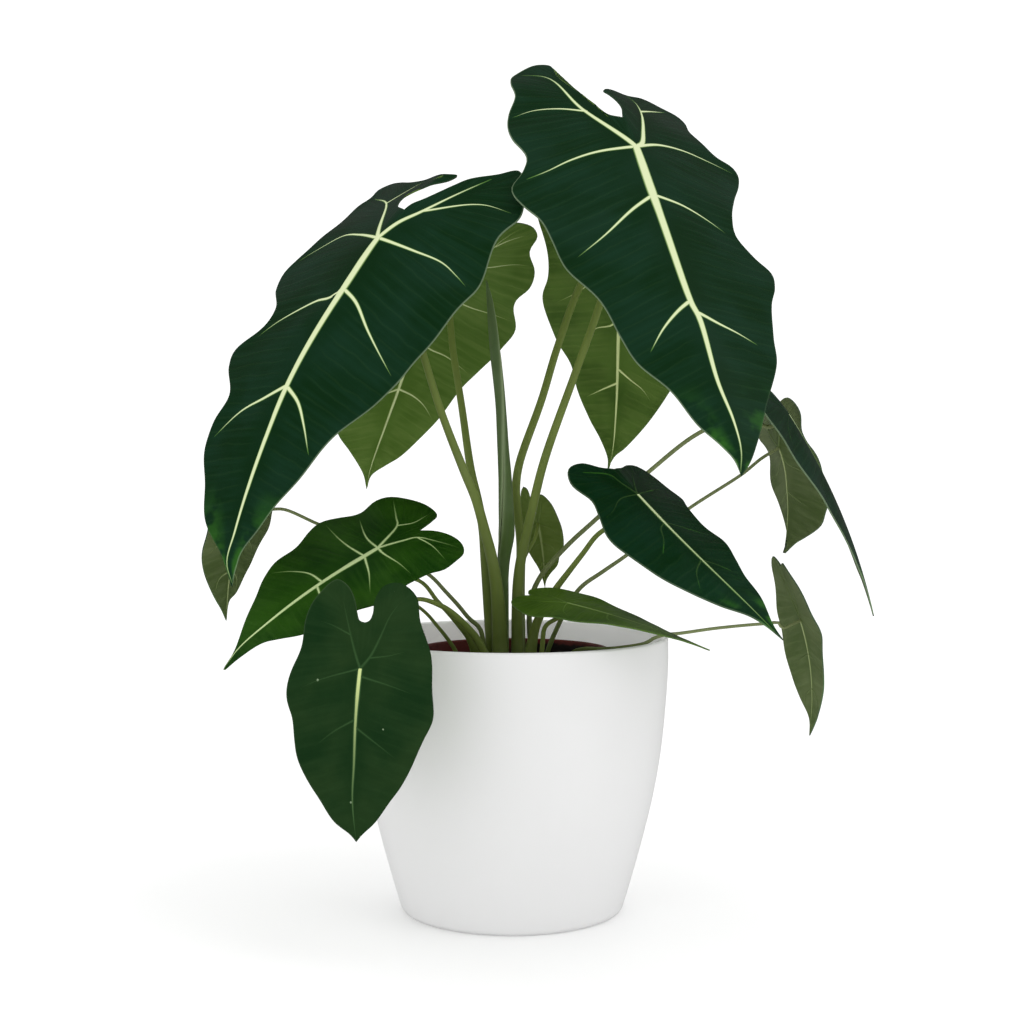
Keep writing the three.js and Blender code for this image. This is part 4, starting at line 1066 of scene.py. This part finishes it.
class AlocasiaLeafSettings(bpy.types.PropertyGroup):
    thickness: size_setting("Thickness", "Thickness of a blade", 0.8 * MM, 0.4 * MM, 2 * MM)
    pucker: size_setting("Puckering", "How far a large blade rises between its veins", 0.9 * MM, 0.0, 3 * MM)


class AlocasiaStemSettings(bpy.types.PropertyGroup):
    low_colour: colour_setting("Foot", "Colour at the foot of a stem", colour(80, 97, 34))
    high_colour: colour_setting("Stem", "Colour of a stem", colour(112, 128, 62))
    thin_colour: colour_setting("Thin stem", "Colour of a thin stem", colour(122, 132, 90))
    sheath: number_setting("Sheath", "Share of a stem that is an open sheath", 0.3, 0.05, 0.8)
    roll_turns: number_setting("Roll", "Turns of the seam round the new leaf", 0.7, 0.0, 4.0)


class AlocasiaStageSettings(bpy.types.PropertyGroup):
    floor_colour: colour_setting("Floor", "Colour of the floor", (0.88, 0.88, 0.88, 1.0))
    floor_glow: number_setting("Floor glow", "Light that the floor gives off", 0.08, 0.0, 1.0)
    sky: number_setting("Soft light", "Strength of the soft light", 1.16, 0.0, 10.0)
    reflected: number_setting("Reflected", "Share of the soft light that surfaces mirror", 0.2, 0.0, 1.0)
    sun: number_setting("Sun", "Strength of the light from above", 0.3, 0.0, 10.0)


# ---- Operators ----------------------------------------------------------------------------
class ALOCASIA_OT_pots(bpy.types.Operator):
    """Adds the outer pot and the nursery pot in it"""

    bl_idname = "object.alocasia_pots"
    bl_label = "Pots"

    def execute(self, context):
        make_pot(context.scene.alocasia_pot)
        make_liner(context.scene.alocasia_pot)
        return {"FINISHED"}


class ALOCASIA_OT_soil(bpy.types.Operator):
    """Adds the potting soil"""

    bl_idname = "object.alocasia_soil"
    bl_label = "Soil"

    def execute(self, context):
        make_soil(context.scene.alocasia_soil)
        return {"FINISHED"}


class ALOCASIA_OT_petioles(bpy.types.Operator):
    """Adds the petioles, the two that share a sheath as one piece"""

    bl_idname = "object.alocasia_petioles"
    bl_label = "Petioles"

    def execute(self, context):
        settings = context.scene.alocasia_stem
        thick = stem_finish("petiole", settings.low_colour, settings.high_colour, *PETIOLE_LOOKS)
        thin = stem_finish("thin_petiole", settings.low_colour, settings.thin_colour, *PETIOLE_LOOKS)
        pair = joined("left_pair_petioles", [petiole_tube(name, settings) for name in SHEATHED])
        finished(pair, "petioles_left_pair", "petiole", 60, thick)
        for name in LEAVES:
            if name not in SHEATHED:
                piece = joined(name + "_petiole", [petiole_tube(name, settings)])
                finished(piece, "petiole_" + name, "petiole", 60, thin if name in THIN else thick)
        return {"FINISHED"}


class ALOCASIA_OT_blades(bpy.types.Operator):
    """Adds the blades with their veins"""

    bl_idname = "object.alocasia_blades"
    bl_label = "Blades"

    def execute(self, context):
        materials = {name: blade_finish(name, "olive" not in name) for name in BLADE_SHADES}
        for name in LEAVES:
            make_blade(name, context.scene.alocasia_leaf, materials)
        return {"FINISHED"}


class ALOCASIA_OT_new_leaf(bpy.types.Operator):
    """Adds the new leaf that is still rolled"""

    bl_idname = "object.alocasia_new_leaf"
    bl_label = "New leaf"

    def execute(self, context):
        make_rolled_leaf(context.scene.alocasia_stem)
        return {"FINISHED"}


class ALOCASIA_OT_stage(bpy.types.Operator):
    """Adds the floor, the lights and the camera"""

    bl_idname = "object.alocasia_stage"
    bl_label = "Stage"

    def execute(self, context):
        settings = context.scene.alocasia_stage
        bpy.ops.object.select_all(action="DESELECT")
        bpy.ops.mesh.primitive_plane_add(size=14.0, location=(0, 0, 0))
        floor = joined("floor", [bpy.context.object])
        finish = Finish("floor_paint", 0.9, 0.0)
        finish.set("Base Color", settings.floor_colour)
        finish.set("Emission Color", WHITE)
        finish.set("Emission Strength", settings.floor_glow)
        floor.data.materials.append(finish.material)
        floor.visible_glossy = False

        world = context.scene.world = bpy.data.worlds.new("studio")
        world.use_nodes = True
        nodes, links = world.node_tree.nodes, world.node_tree.links
        path, dim = nodes.new("ShaderNodeLightPath"), nodes.new("ShaderNodeMapRange")
        dim.inputs["To Min"].default_value = settings.sky
        dim.inputs["To Max"].default_value = settings.sky * settings.reflected
        links.new(path.outputs["Is Glossy Ray"], dim.inputs["Value"])
        links.new(dim.outputs["Result"], nodes["Background"].inputs["Strength"])
        nodes["Background"].inputs["Color"].default_value = WHITE

        bpy.ops.object.light_add(type="SUN", rotation=(math.radians(16), math.radians(24), 0))
        sun = bpy.context.object.data
        sun.energy = settings.sun
        sun.angle = math.radians(30)

        bpy.ops.object.camera_add(location=(0, -1.045, 0.282), rotation=(math.radians(87.8), 0, 0))
        context.scene.camera = bpy.context.object
        context.scene.camera.data.lens = 60.43
        context.scene.camera.data.sensor_width = 36.0
        context.scene.view_settings.view_transform = "Standard"
        return {"FINISHED"}


class ALOCASIA_PT_panel(bpy.types.Panel):
    """Lists the steps that build the plant, with their settings"""

    bl_label = "Potted Alocasia"
    bl_idname = "ALOCASIA_PT_panel"
    bl_space_type = "VIEW_3D"
    bl_region_type = "UI"
    bl_category = "Alocasia"

    def draw(self, context):
        for operator, group in STEPS:
            box = self.layout.box()
            box.operator(operator.bl_idname)
            settings = getattr(context.scene, group)
            for name in settings.bl_rna.properties.keys():
                if name not in ("rna_type", "name"):
                    box.prop(settings, name)


SETTINGS = {
    "alocasia_pot": AlocasiaPotSettings,
    "alocasia_soil": AlocasiaSoilSettings,
    "alocasia_leaf": AlocasiaLeafSettings,
    "alocasia_stem": AlocasiaStemSettings,
    "alocasia_stage": AlocasiaStageSettings,
}
STEPS = (
    (ALOCASIA_OT_pots, "alocasia_pot"),
    (ALOCASIA_OT_soil, "alocasia_soil"),
    (ALOCASIA_OT_petioles, "alocasia_stem"),
    (ALOCASIA_OT_blades, "alocasia_leaf"),
    (ALOCASIA_OT_new_leaf, "alocasia_stem"),
    (ALOCASIA_OT_stage, "alocasia_stage"),
)
CLASSES = (*SETTINGS.values(), *(operator for operator, _ in STEPS), ALOCASIA_PT_panel)


def register():
    for cls in CLASSES:
        bpy.utils.register_class(cls)
    for name, group in SETTINGS.items():
        setattr(bpy.types.Scene, name, bpy.props.PointerProperty(type=group))


def unregister():
    for name in SETTINGS:
        delattr(bpy.types.Scene, name)
    for cls in reversed(CLASSES):
        bpy.utils.unregister_class(cls)


def main():
    register()
    bpy.ops.object.alocasia_pots()
    bpy.ops.object.alocasia_soil()
    bpy.ops.object.alocasia_petioles()
    bpy.ops.object.alocasia_blades()
    bpy.ops.object.alocasia_new_leaf()
    bpy.ops.object.alocasia_stage()
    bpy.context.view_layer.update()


if __name__ == "__main__":
    main()
